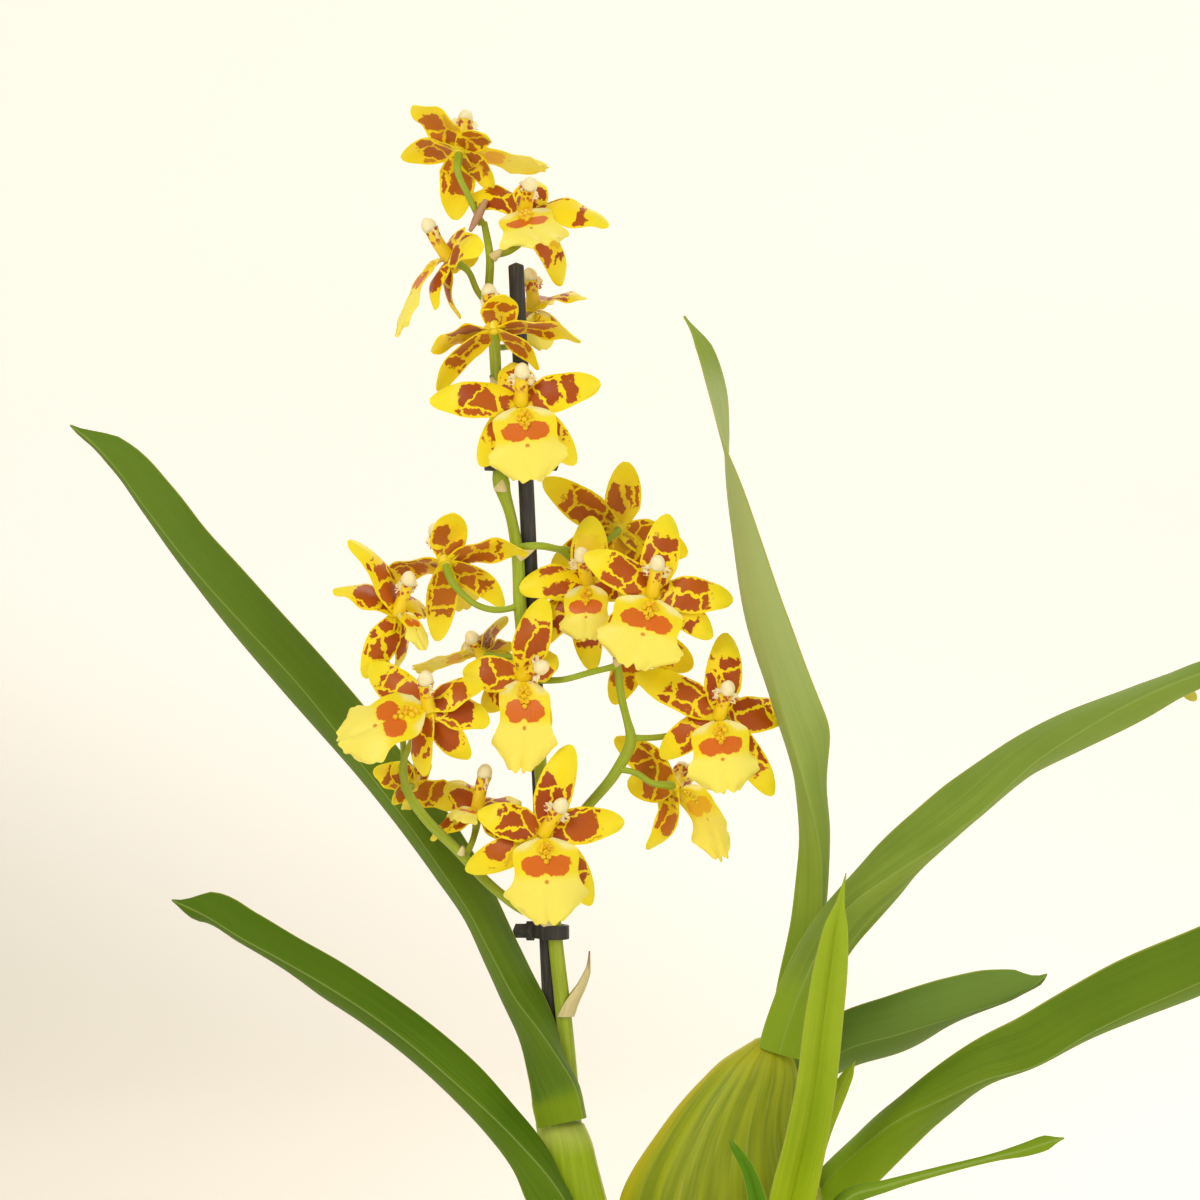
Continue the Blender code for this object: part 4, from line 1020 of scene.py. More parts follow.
@dataclass(frozen=True)
class BulbFinish:
    """Furrowed green skin, yellow towards its left rim, with long stripes and brown scars."""

    name: str = "bulb_striped"
    green: Colour = (0.345, 0.40, 0.013)
    deep: Colour = (0.21, 0.275, 0.010)
    silver: Colour = (0.42, 0.48, 0.11)
    yellow: Colour = (0.58, 0.50, 0.012)
    scar: Colour = (0.10, 0.07, 0.02)
    rim: tuple[float, float] = (0.84, 1.0)
    rim_side: float = -1.0

    def build(self) -> bpy.types.Material:
        """Builds the finish.

        Returns:
            Its material.
        """
        material, graph, shader = begin_finish(self.name, 0.4)
        _, (round_x, _, _) = graph.read("place")
        _, (_, along, _) = graph.read("trait")
        stripes = graph.round_lines(5.2, 0.012)
        broad = graph.noise(stripes, 1.0)
        fine = graph.noise(graph.scaled(stripes, (5.0, 5.0, 3.0)), 1.0)
        body = graph.mix(graph.ease(broad, 0.36, 0.62), self.deep, self.green)
        body = graph.mix(graph.ease(fine, 0.5, 0.8, 0.0, 0.45), body, self.silver)
        body = graph.mix(graph.mul(graph.mottle(60.0), 0.08), body, self.yellow)
        edge = graph.ease(graph.mul(round_x, self.rim_side), self.rim[0], self.rim[1])
        body = graph.mix(graph.mul(edge, 0.85), body, self.yellow)
        body = graph.mix(graph.ease(along, 0.84, 0.97, 0.0, 0.35), body, self.yellow)
        body = graph.mix(graph.ease(graph.cells(38.0, "Distance"), 0.035, 0.055, 0.85, 0.0), body, self.scar)
        graph.feed(shader.inputs["Base Color"], body)
        shader.inputs["Specular IOR Level"].default_value = 0.15
        emboss(graph, shader, graph.add(broad, graph.mul(fine, 0.5)), 0.45, 1.0 * MM)
        soften(shader, 0.08, 2.0 * MM, (0.5, 1.0, 0.1))
        return material


@dataclass(frozen=True)
class StemFinish:
    """Yellow-green skin with fine length-wise lines and soft darker clouds."""

    name: str = "stem_green"
    green: Colour = (0.28, 0.39, 0.011)
    light: Colour = (0.43, 0.52, 0.038)
    dusk: Colour = (0.17, 0.15, 0.02)

    def build(self) -> bpy.types.Material:
        """Builds the finish.

        Returns:
            Its material.
        """
        material, graph, shader = begin_finish(self.name, 0.42)
        fine = graph.noise(graph.round_lines(4.0, 0.05), 1.0, 3.0)
        body = graph.mix(graph.ease(fine, 0.25, 0.75), self.green, self.light)
        body = graph.mix(graph.mul(graph.mottle(70.0), 0.2), body, self.dusk)
        graph.feed(shader.inputs["Base Color"], body)
        shader.inputs["Specular IOR Level"].default_value = 0.3
        emboss(graph, shader, fine, 0.3, 0.3 * MM)
        soften(shader, 0.1, 1.2 * MM, (0.5, 1.0, 0.1))
        return material


@dataclass(frozen=True)
class PaperFinish:
    """Dry papery tissue, beige with a brown tip and fine ribs."""

    beige: Colour = (0.74, 0.63, 0.30)
    brown: Colour = (0.26, 0.12, 0.04)

    def build(self) -> bpy.types.Material:
        """Builds the finish.

        Returns:
            Its material.
        """
        material, graph, shader = begin_finish("scale_papery", 0.75)
        place, _ = graph.read("place")
        _, (_, along, _) = graph.read("trait")
        ribs = graph.streaks(place, 3.0, 0.15)
        tip = graph.ease(graph.add(along, graph.mul(ribs, 0.3)), 0.85, 1.15)
        body = graph.mix(tip, self.beige, self.brown)
        body = graph.mix(graph.ease(ribs, 0.45, 0.75, 0.0, 0.2), body, self.brown)
        graph.feed(shader.inputs["Base Color"], body)
        emboss(graph, shader, ribs, 0.5, 0.3 * MM)
        return material


@dataclass(frozen=True)
class PlasticFinish:
    """Moulded matt plastic with faint drawn lines and dust."""

    name: str
    colour: Colour
    worn: Colour
    roughness: float
    lines: float

    def build(self) -> bpy.types.Material:
        """Builds the finish.

        Returns:
            Its material.
        """
        material, graph, shader = begin_finish(self.name, self.roughness)
        stretched = graph.scaled(graph.own(), (self.lines, self.lines, 6.0))
        drawn = graph.noise(stretched, 1.0, 3.0)
        dust = graph.mottle(45.0)
        cover = graph.add(graph.ease(drawn, 0.45, 0.75, 0.0, 0.6), graph.mul(dust, 0.2))
        graph.feed(shader.inputs["Base Color"], graph.mix(cover, self.colour, self.worn))
        rough = graph.ease(dust, 0.0, 1.0, self.roughness - 0.08, self.roughness + 0.1)
        graph.feed(shader.inputs["Roughness"], rough)
        emboss(graph, shader, drawn, 0.25, 0.3 * MM)
        return material


@dataclass(frozen=True)
class BarkFinish:
    """Rough pine bark: dark chips with lighter, fibrous faces."""

    dark: Colour = (0.045, 0.022, 0.012)
    mid: Colour = (0.16, 0.080, 0.038)
    pale: Colour = (0.34, 0.20, 0.10)

    def build(self) -> bpy.types.Material:
        """Builds the finish.

        Returns:
            Its material.
        """
        material, graph, shader = begin_finish("bark_rough", 0.9)
        mottle = graph.mottle(170.0)
        chips = graph.node("ShaderNodeSeparateXYZ", {0: graph.cells(95.0, "Color")}).outputs[0]
        fibres = graph.noise(graph.scaled(graph.own(), (900.0, 220.0, 600.0)), 1.0, 4.0)
        body = graph.mix(chips, self.dark, self.mid)
        body = graph.mix(graph.mul(graph.ease(fibres, 0.5, 0.8), mottle), body, self.pale)
        graph.feed(shader.inputs["Base Color"], body)
        emboss(graph, shader, graph.add(fibres, mottle), 0.7, 1.0 * MM)
        return material


@dataclass
class Blossom:
    """One flower: five tepals and the column as one piece, and the lip as another."""

    plan: FlowerPlan
    number: int
    petal_width: float = 12.6 * MM
    sepal_width: float = 11.0 * MM
    tepal_thickness: float = 0.5 * MM
    lip_thickness: float = 0.55 * MM
    column_foot: float = 2.5 * MM
    column_head: float = 2.5 * MM
    cap_radius: float = 2.6 * MM
    lip_rows: int = 33
    lip_columns: int = 25
    tepal_outline: tuple = (
        (0, 0.35), (0.15, 0.70), (0.33, 1.0), (0.50, 1.0), (0.66, 0.91), (0.80, 0.74), (0.91, 0.52),
        (0.97, 0.32), (1, 0.14),
    )
    lip_outline: tuple = (
        (0, 0.20), (0.08, 0.55), (0.18, 0.78), (0.32, 0.80), (0.46, 0.76), (0.55, 0.78), (0.68, 1.0),
        (0.80, 0.98), (0.92, 0.82), (1, 0.56),
    )
    callus: tuple = (
        (-0.06, 0.10), (0.07, 0.13), (-0.17, 0.16), (0.18, 0.19), (0.0, 0.21), (-0.10, 0.27), (0.11, 0.28),
        (0.0, 0.35),
    )

    def spot(self, place: Sequence[float]) -> Array:
        """A point of the flower whose depth is counted from the hub."""
        return seen(place[0], place[1], self.plan.hub[2] + place[2])

    def tepal(self, shape: Shape, tip: Array, width: float, rng: np.random.Generator, petal: bool) -> None:
        """Adds one sepal or petal.

        Args:
            shape: The shape to add to.
            tip: Where it ends.
            width: Its widest width.
            rng: Source of its small differences.
            petal: Whether it is a petal, which waves more than a sepal.
        """
        hub, face = seen(*self.plan.hub), unit(np.array(self.plan.face))
        foot = hub + unit(tip - hub) * 0.4 * MM
        along_way = tip - foot
        length = float(np.linalg.norm(along_way))
        across_way = unit(np.cross(along_way, face))
        rise = unit(np.cross(across_way, along_way))
        along, across = sheet_shares(25, 13)
        half = min(width / 2, 0.42 * length) * blend_table(self.tepal_outline, along)
        phase = rng.uniform(0, math.tau)
        waves = (0.17 if petal else 0.10) * half * np.abs(across) ** 2.5
        ruffle = waves * np.sin(math.tau * (1.9 if petal else 1.3) * along + phase + across * 1.1)
        bow = length * (0.11 * np.sin(math.pi * along) - 0.035 * ease(along, 0.75, 1.0))
        keel = 0.20 * half * (np.abs(across) ** 1.6 - 0.35) * ease(along, 0.0, 0.25)
        sway = length * rng.uniform(-0.03, 0.03) * np.sin(math.pi * along)
        grid = foot + along_way * along[..., None] + across_way * (half * across + sway)[..., None]
        grid = grid + rise * (bow - keel + ruffle)[..., None]
        thickness = self.tepal_thickness * (1 - 0.55 * np.abs(across) ** 4)
        shape.sheet(grid, thickness, across, along, float(rng.uniform(0, 90)))

    def column(self, shape: Shape) -> None:
        """Adds the column, its cream cap and the fringed wings beside it.

        Args:
            shape: The shape to add to.
        """
        hub, cap = seen(*self.plan.hub), self.spot(self.plan.cap)
        face = unit(np.array(self.plan.face))
        way = unit(cap - hub)
        share = np.linspace(0, 1, 9)
        length = float(np.linalg.norm(cap - hub))
        bend = face * length * 0.10
        path = hub + (cap - hub) * share[:, None] + bend * np.sin(math.pi * share)[:, None]
        radii = np.interp(share, (0, 0.35, 0.7, 1), (self.column_foot, 2.2 * MM, 2.2 * MM, self.column_head))
        shape.tube(path, radii, 14, 1)
        shape.blob(cap - way * 2.4 * MM + face * 0.9 * MM, cap + way * 3.6 * MM + face * 0.5 * MM,
                   self.cap_radius, 2, 0.42, 16, 11)
        side = unit(np.cross(way, face))
        rows, columns = sheet_shares(13, 5, 0.0)
        fringe = (0.55 * MM * np.cos(rows * math.tau * 3.0) - 0.9 * MM * (rows - 0.5) ** 2 * 4) * columns
        out = self.column_head * 0.7 + columns * (2.7 * MM + fringe)
        curl = 1.1 * MM + 0.6 * MM * columns * np.sin(rows * math.tau * 1.5)
        for sign in (-1, 1):
            grid = (cap - way * 4.9 * MM + way * (rows * 4.2 * MM)[..., None]
                    + side * (sign * out)[..., None] + face * curl[..., None])
            shape.sheet(grid, np.full_like(rows, 0.3 * MM), columns, rows, 1.0, 2)

    def lip(self, shape: Shape, rng: np.random.Generator) -> None:
        """Adds the lip: side lobes, a waist with warts, and a broad notched lower lobe.

        Args:
            shape: The shape to add to.
            rng: Source of its small differences.
        """
        hub, bend, end = seen(*self.plan.hub), self.spot(self.plan.lip[0]), self.spot(self.plan.lip[1])
        face = unit(np.array(self.plan.face))
        foot = hub + unit(bend - hub) * 2.2 * MM
        width = self.plan.lip_width * MM
        along, across = sheet_shares(self.lip_rows, self.lip_columns)
        low = ease(along, 0.62, 1.0)
        notch = 0.045 * np.exp(-((across / 0.10) ** 2)) + 0.13 * np.abs(across) ** 2.6
        notch = notch + 0.012 * np.sin(across * math.tau * 2.6 + self.number)
        run = along - low * notch
        half = width / 2 * blend_table(self.lip_outline, along)
        path = (foot * ((1 - run) ** 2)[..., None] + bend * (2 * run * (1 - run))[..., None]
                + end * (run**2)[..., None])
        heading = unit(end - foot)
        across_way = unit(np.cross(end - foot, face))
        rise = unit(np.cross(across_way, heading))
        phase = rng.uniform(0, math.tau)
        half = half * (1 + 0.035 * np.sin(along * math.tau * 4.5 + phase) * ease(along, 0.5, 0.65))
        wings = 1.6 * MM * np.abs(across) ** 2 * ease(along, 0.3, 0.05)
        ridge = 0.8 * MM * np.exp(-(((along - 0.16) / 0.12) ** 2)) * np.exp(-((across / 0.24) ** 2))
        skirt = -0.13 * width * np.abs(across) ** 2 * ease(along, 0.35, 0.85)
        ruffle = 0.045 * width * np.abs(across) ** 3 * np.sin(along * math.tau * 2.3 + phase)
        ruffle = ruffle * ease(along, 0.3, 0.7)
        flare = 0.035 * width * np.sin(across * math.tau * 1.4 + phase) * ease(along, 0.8, 1.0)
        groove = -0.03 * width * np.exp(-((across / 0.12) ** 2)) * ease(along, 0.45, 0.8)
        grid = path + across_way * (half * across)[..., None]
        grid = grid + rise * (wings + ridge + skirt + ruffle + flare + groove)[..., None]
        thickness = self.lip_thickness * (1 - 0.5 * np.abs(across) ** 4)
        shape.sheet(grid, thickness, across, along, float(rng.uniform(0, 90)))
        for index, (side, share) in enumerate(self.callus):
            row, column = round(share * (self.lip_rows - 1)), round((side + 1) / 2 * (self.lip_columns - 1))
            size = (1.25 - 0.05 * index) * MM * min(1.0, self.plan.lip_width / 22)
            seat = grid[row, column]
            top = seat + rise * size * 1.9 + heading * size * 0.4
            shape.blob(seat - rise * size, top, size, 1, 0.5, 10, 7)

    def build(self, tissue: Sequence[bpy.types.Material], lip_finish: bpy.types.Material) -> None:
        """Builds both pieces.

        Args:
            tissue: Finishes of the tepals, the column, its cap and the lip's warts.
            lip_finish: Finish of the lip.
        """
        rng = np.random.default_rng(40 + self.number)
        star = Shape()
        for index, place in enumerate((self.plan.dorsal, *self.plan.petals, *self.plan.sepals)):
            petal = index in (1, 2)
            width = self.petal_width if petal or index == 0 else self.sepal_width
            self.tepal(star, self.spot(place), width, rng, petal)
        hub = seen(*self.plan.hub)
        back = unit(np.array(self.plan.face))
        star.blob(hub - back * 1.6 * MM, hub + back * 2.2 * MM, 2.1 * MM, 1)
        self.column(star)
        star.piece(f"blossom_{self.plan.name}", tissue[:3], "tepal", [f"flower_{self.plan.name}"])
        lobe = Shape()
        self.lip(lobe, rng)
        lobe.piece(f"lip_petal_{self.plan.name}", [lip_finish, tissue[3]], "lip", [f"lip_{self.plan.name}"])


@dataclass
class Blade:
    """One leaf: two halves that curve away from a folded midrib."""

    name: str
    rows: tuple
    thickness: float = 0.9 * MM
    sections: int = 84
    columns: int = 25
    arch: float = 0.07
    crease: float = 0.05

    def build(self, finish: bpy.types.Material, slot: str, seed: float) -> None:
        """Builds the leaf.

        Args:
            finish: Its material.
            slot: The record's material slot.
            seed: A number that sets its veins apart.
        """
        table = smooth_rows(self.rows, self.sections)
        ribs = np.array([seen(*row[:3]) for row in table])
        along_way = unit(np.gradient(ribs, axis=0))
        left = unit(np.cross(along_way, [0.0, 1.0, 0.0]))
        back = unit(np.cross(left, along_way))
        back = back * np.where(back[:, 1] < 0, -1, 1)[:, None]
        half, roll, fold = table[:, 3] * MM, np.radians(table[:, 4]), np.radians(table[:, 5])
        half = half * np.interp(np.linspace(0, 1, self.sections), (0, 0.955, 1), (1, 1, 0.2))
        share = np.linspace(-1, 1, self.columns)
        grid = np.empty((self.sections, self.columns, 3))
        for column, place in enumerate(share):
            reach = math.sqrt(place**2 + self.crease**2) - self.crease
            reach /= math.sqrt(1 + self.crease**2) - self.crease
            lean = fold + roll if place < 0 else fold - roll
            side = left if place < 0 else -left
            bulge = self.arch * math.sin(math.pi * abs(place))
            spread = side * np.cos(lean)[:, None] + back * np.sin(lean)[:, None]
            lift = side * np.sin(lean)[:, None] - back * np.cos(lean)[:, None]
            grid[:, column] = ribs + half[:, None] * (spread * reach + lift * bulge)
        along, across = sheet_shares(self.sections, self.columns)
        thickness = self.thickness * (1 - 0.6 * np.abs(across) ** 3)
        shape = Shape()
        shape.sheet(grid, thickness, across, along, seed)
        if self.rows[0][1] > MEDIUM_ROW:
            shape.stand()
        shape.piece(self.name + "_blade", [finish], slot, [self.name])


@dataclass
class Bulb:
    """A flattened, furrowed pseudobulb."""

    name: str
    rows: tuple
    depth: float
    furrows: int
    furrow_depth: float
    sides: int = 96
    rings: int = 90
    lengthwise: float = 110
    crown_rings: tuple = ((0.12, 0.85), (0.2, 0.6), (0.25, 0.3))

    def build(self, finish: bpy.types.Material) -> None:
        """Builds the bulb.

        Args:
            finish: Its material.
        """
        table = smooth_rows([(px, py, 0, wide, deep) for px, py, wide, deep in self.rows], self.rings)
        crown = min(table[-1][3:]) * MM
        rounding = [(0.0, 1.0)] * self.rings + [(lift * crown, shrink) for lift, shrink in self.crown_rings]
        table = np.vstack([table, np.tile(table[-1], (len(self.crown_rings), 1))])
        angles = np.linspace(0, math.tau, self.sides, endpoint=False)
        circle = np.column_stack([np.cos(angles), np.sin(angles), np.zeros(self.sides)])
        points, place, trait = [], [], []
        for index, (row, (lift, shrink)) in enumerate(zip(table, rounding)):
            share = min(1.0, index / (self.rings - 1))
            centre = seen(row[0], row[1], self.depth) + [0, 0, lift]
            wave = np.cos(self.furrows * angles + 2.0 * math.sin(share * 2.2)) + 0.4 * np.cos(angles * 17 + 1)
            swell = 1 + self.furrow_depth * wave * math.sin(math.pi * min(1, 0.12 + share * 0.88)) ** 0.7
            points.append(centre + circle * swell[:, None] * (row[3] * MM, row[4] * MM, 0) * shrink)
            place.append(circle + [0, 0, share * self.lengthwise])
            trait.append(np.tile([0.0, share, 1.0], (self.sides, 1)))
        last = (len(table) - 1) * self.sides
        faces = ring_faces(len(table), self.sides)
        faces.append(tuple(range(self.sides - 1, -1, -1)))
        faces.append(tuple(range(last, last + self.sides)))
        shape = Shape()
        shape.add(np.vstack(points), np.vstack(place), np.vstack(trait), faces, 0)
        shape.stand()
        shape.piece(self.name + "_skin", [finish], "bulb", [self.name])


@dataclass
class Spike:
    """The branched flower spike: its stem, branches, flower stalks, scales and withered bud."""

    stalk_radius: float = 1.1 * MM
    ovary_radius: float = 1.5 * MM
    scale_thickness: float = 0.35 * MM
    bract_places: tuple = (0, 0.33, 0.67, 1)
    bract_reach: tuple = (3.6, 3.7, 3.0, 0.5)
    bract_sweep: tuple = (250, 200, 150, 60)

    def route(self, shape: Shape, rows: tuple, count: int, sides: int = 16, slot: int = 0) -> None:
        """Adds a tube along rows of picture x, picture y, depth and radius."""
        table = smooth_rows(rows, count)
        shape.tube(np.array([seen(*row[:3]) for row in table]), table[:, 3] * MM, sides, slot)

    def stalk(self, shape: Shape, plan: FlowerPlan) -> None:
        """Adds a flower's stalk, which thickens to its ovary.

        Args:
            shape: The shape to add to.
            plan: The flower's plan.
        """
        hub = seen(*plan.hub)
        points = [seen(*place) for place in plan.stalk]
        points.append(hub + unit(points[-1] - hub) * 1.2 * MM)
        places, radii = zip((0, 1.45 * MM), (0.1, self.stalk_radius), (0.6, self.stalk_radius),
                            (0.92, self.ovary_radius), (1, self.ovary_radius * 0.85))
        shape.tube(smooth_rows(points, 22), np.interp(np.linspace(0, 1, 22), places, radii), 12)

    def scales(self, shape: Shape) -> None:
        """Adds the small papery scales where stalks and branches leave the stem.

        Args:
            shape: The shape to add to.
        """
        along, across = sheet_shares(9, 7)
        wrap = across * 1.25
        for index, (px, py, depth, way_x, way_y, length, width) in enumerate(SCALES):
            start = seen(px, py, depth)
            way = unit(np.array([way_x, -0.25, -way_y]))
            side = unit(np.cross(way, [0.0, -1.0, 0.0]))
            out = unit(np.cross(side, way))
            half = width / 2 * MM * (1 - along**1.6 * 0.95)
            grid = (start + way * (along * length * MM)[..., None] + side * (half * np.sin(wrap))[..., None]
                    + out * (half * np.cos(wrap) + 0.9 * MM)[..., None])
            shape.sheet(grid, np.full_like(along, self.scale_thickness), across, along, 3.0 + index, 1)

    def build(self, stem: bpy.types.Material, paper: bpy.types.Material, blush: bpy.types.Material) -> None:
        """Builds the spike.

        Args:
            stem: Finish of the stem and stalks.
            paper: Finish of the scales.
            blush: Finish of the withered bud.
        """
        shape = Shape()
        self.route(shape, SPIKE, 150, 20)
        for rows in (BRANCH_LEFT, BRANCH_RIGHT, BRANCH_TOP):
            self.route(shape, rows, 44)
        self.route(shape, ABORTED_BUD, 16, 14, 2)
        for plan in FLOWERS:
            self.stalk(shape, plan)
        self.scales(shape)
        shape.stand()
        shape.piece("spike_stem", [stem, paper, blush], "stem", ["flower_spike"])

    def build_bract(self, paper: bpy.types.Material) -> None:
        """Builds the dry bract that clasps the spike low down.

        Args:
            paper: Its material.
        """
        along, across = sheet_shares(22, 17)
        centres = smooth_rows([seen(*place) for place in BRACT_PLACE], len(along))
        reach = np.interp(along, self.bract_places, self.bract_reach) * MM
        turn = across / 2 * np.radians(np.interp(along, self.bract_places, self.bract_sweep))
        crinkle = 1 + 0.06 * np.sin(across * 9) * along
        out = np.stack([np.cos(turn), np.sin(turn), np.zeros_like(turn)], axis=2)
        grid = centres[:, None] + out * (reach * crinkle)[..., None]
        shape = Shape()
        shape.sheet(grid, np.full_like(along, 0.4 * MM), across, along, 11.0)
        shape.piece("bract_dry", [paper], "dry_bract", ["spike_bract"])

    def build_young(self, stem: bpy.types.Material, bud: bpy.types.Material) -> None:
        """Builds the budding spike behind the arching leaf.

        Args:
            stem: Finish of its stem.
            bud: Finish of its buds.
        """
        shape = Shape()
        self.route(shape, YOUNG_SPIKE, 90, 12)
        for joint, tip in BUDS:
            start, end = seen(*joint), seen(*tip)
            way = unit(end - start)
            body = end - way * 6.5 * MM
            path = np.array([start, (start + body) / 2 + [0, 0, 0.3 * MM], body])
            shape.tube(path, np.array([0.6, 0.6, 0.8]) * MM, 8)
            shape.blob(body - way * 0.6 * MM, end, 2.1 * MM, 1, 0.42, 14, 11)
        shape.stand()
        shape.piece("young_spike_stem", [stem, bud], "stem", ["young_spike"])


@dataclass
class Support:
    """The stake and the two clips that tie the spike to it."""

    radius: float = 2.65 * MM
    top: tuple[float, float, float] = (516, 265, -10.4)
    low: tuple[float, float, float] = (547, 940, 9.9)
    buried: float = 50 * MM
    wall: float = 1.6 * MM
    rounding: float = 0.35 * MM
    clearance: float = 0.7 * MM
    tab_length: float = 6.6 * MM

    def centre(self, height: float) -> Array:
        """The stake's centre at a height."""
        top, low = seen(*self.top), seen(*self.low)
        return top + (low - top) * ((height - top[2]) / (low[2] - top[2]))

    def build_stake(self, finish: bpy.types.Material) -> None:
        """Builds the stake with eased ends.

        Args:
            finish: Its material.
        """
        top, foot = seen(*self.top), self.centre(MEDIUM_TOP - self.buried)
        share = np.array([0, 0.0006, 0.0015, 0.25, 0.5, 0.75, 0.9985, 0.9994, 1.0])
        radii = self.radius * np.array([0.86, 0.95, 1, 1, 1, 1, 1, 0.96, 0.88])
        shape = Shape()
        shape.tube(foot + (top - foot) * share[:, None], radii, 40)
        shape.piece("stake_rod", [finish], "dark_plastic", ["stake"], 35)

    def build_clip(self, name: str, picture_y: float, height: float, side: int,
                   finish: bpy.types.Material) -> None:
        """Builds one clip: a rounded band with a finger tab.

        Args:
            name: The solid node that it stands for.
            picture_y: Its height in the picture.
            height: Its own height.
            side: 1 where its tab points right, -1 where it points left.
            finish: Its material.
        """
        rows = np.array(SPIKE, float)
        row = [float(np.interp(picture_y, rows[:, 1], rows[:, column])) for column in range(4)]
        spike = seen(*row[:3])
        stake = self.centre(spike[2])
        inner = max(row[3] * MM, self.radius) + self.clearance
        heading = math.atan2(spike[1] - stake[1], spike[0] - stake[0])
        path, ways = [], []
        for centre, start in ((spike, heading - math.pi / 2), (stake, heading + math.pi / 2)):
            for angle in start + np.linspace(0, math.pi, 25):
                way = np.array([math.cos(angle), math.sin(angle), 0.0])
                path.append(np.array([centre[0], centre[1], spike[2]]) + way * (inner + self.wall / 2))
                ways.append(way)
        corners = []
        for quarter, (sx, sz) in enumerate(((1, 1), (-1, 1), (-1, -1), (1, -1))):
            for step in range(4):
                angle = math.radians(quarter * 90 + step * 30)
                corners.append((sx * (self.wall / 2 - self.rounding) + self.rounding * math.cos(angle),
                                sz * (height / 2 - self.rounding) + self.rounding * math.sin(angle)))
        size = len(corners)
        points = np.array([spot + way * wide + [0, 0, tall] for spot, way in zip(path, ways)
                           for wide, tall in corners])
        faces = []
        for i in range(len(path)):
            for j in range(size):
                a, b = i * size + j, i * size + (j + 1) % size
                c, d = ((i + 1) % len(path)) * size + j, ((i + 1) % len(path)) * size + (j + 1) % size
                faces.append((a, c, d, b))
        shape = Shape()
        blank = np.zeros_like(points)
        shape.add(points, blank, blank, faces, 0)
        edge = max((stake[0], spike[0]), key=lambda x: x * side) + side * (inner + self.wall / 2)
        near = stake if abs(stake[0] - edge) < abs(spike[0] - edge) else spike
        start = np.array([edge, near[1], spike[2]])
        for reach, tall in ((self.tab_length, 0.72), (self.tab_length * 0.42, 0.98)):
            share = np.array([0, 0.02, 0.98, 1.0])
            end = start + np.array([side * reach, 0, 0])
            radii = height * tall / 2 * math.sqrt(2) * np.array([0.9, 1, 1, 0.9])
            flat = 2.2 * MM / (height * tall)
            shape.tube(start + (end - start) * share[:, None], radii, 4, 0, flat, np.array([0, 0.0, 1.0]))
        shape.piece(name + "_band", [finish], "dark_plastic", [name], 35)


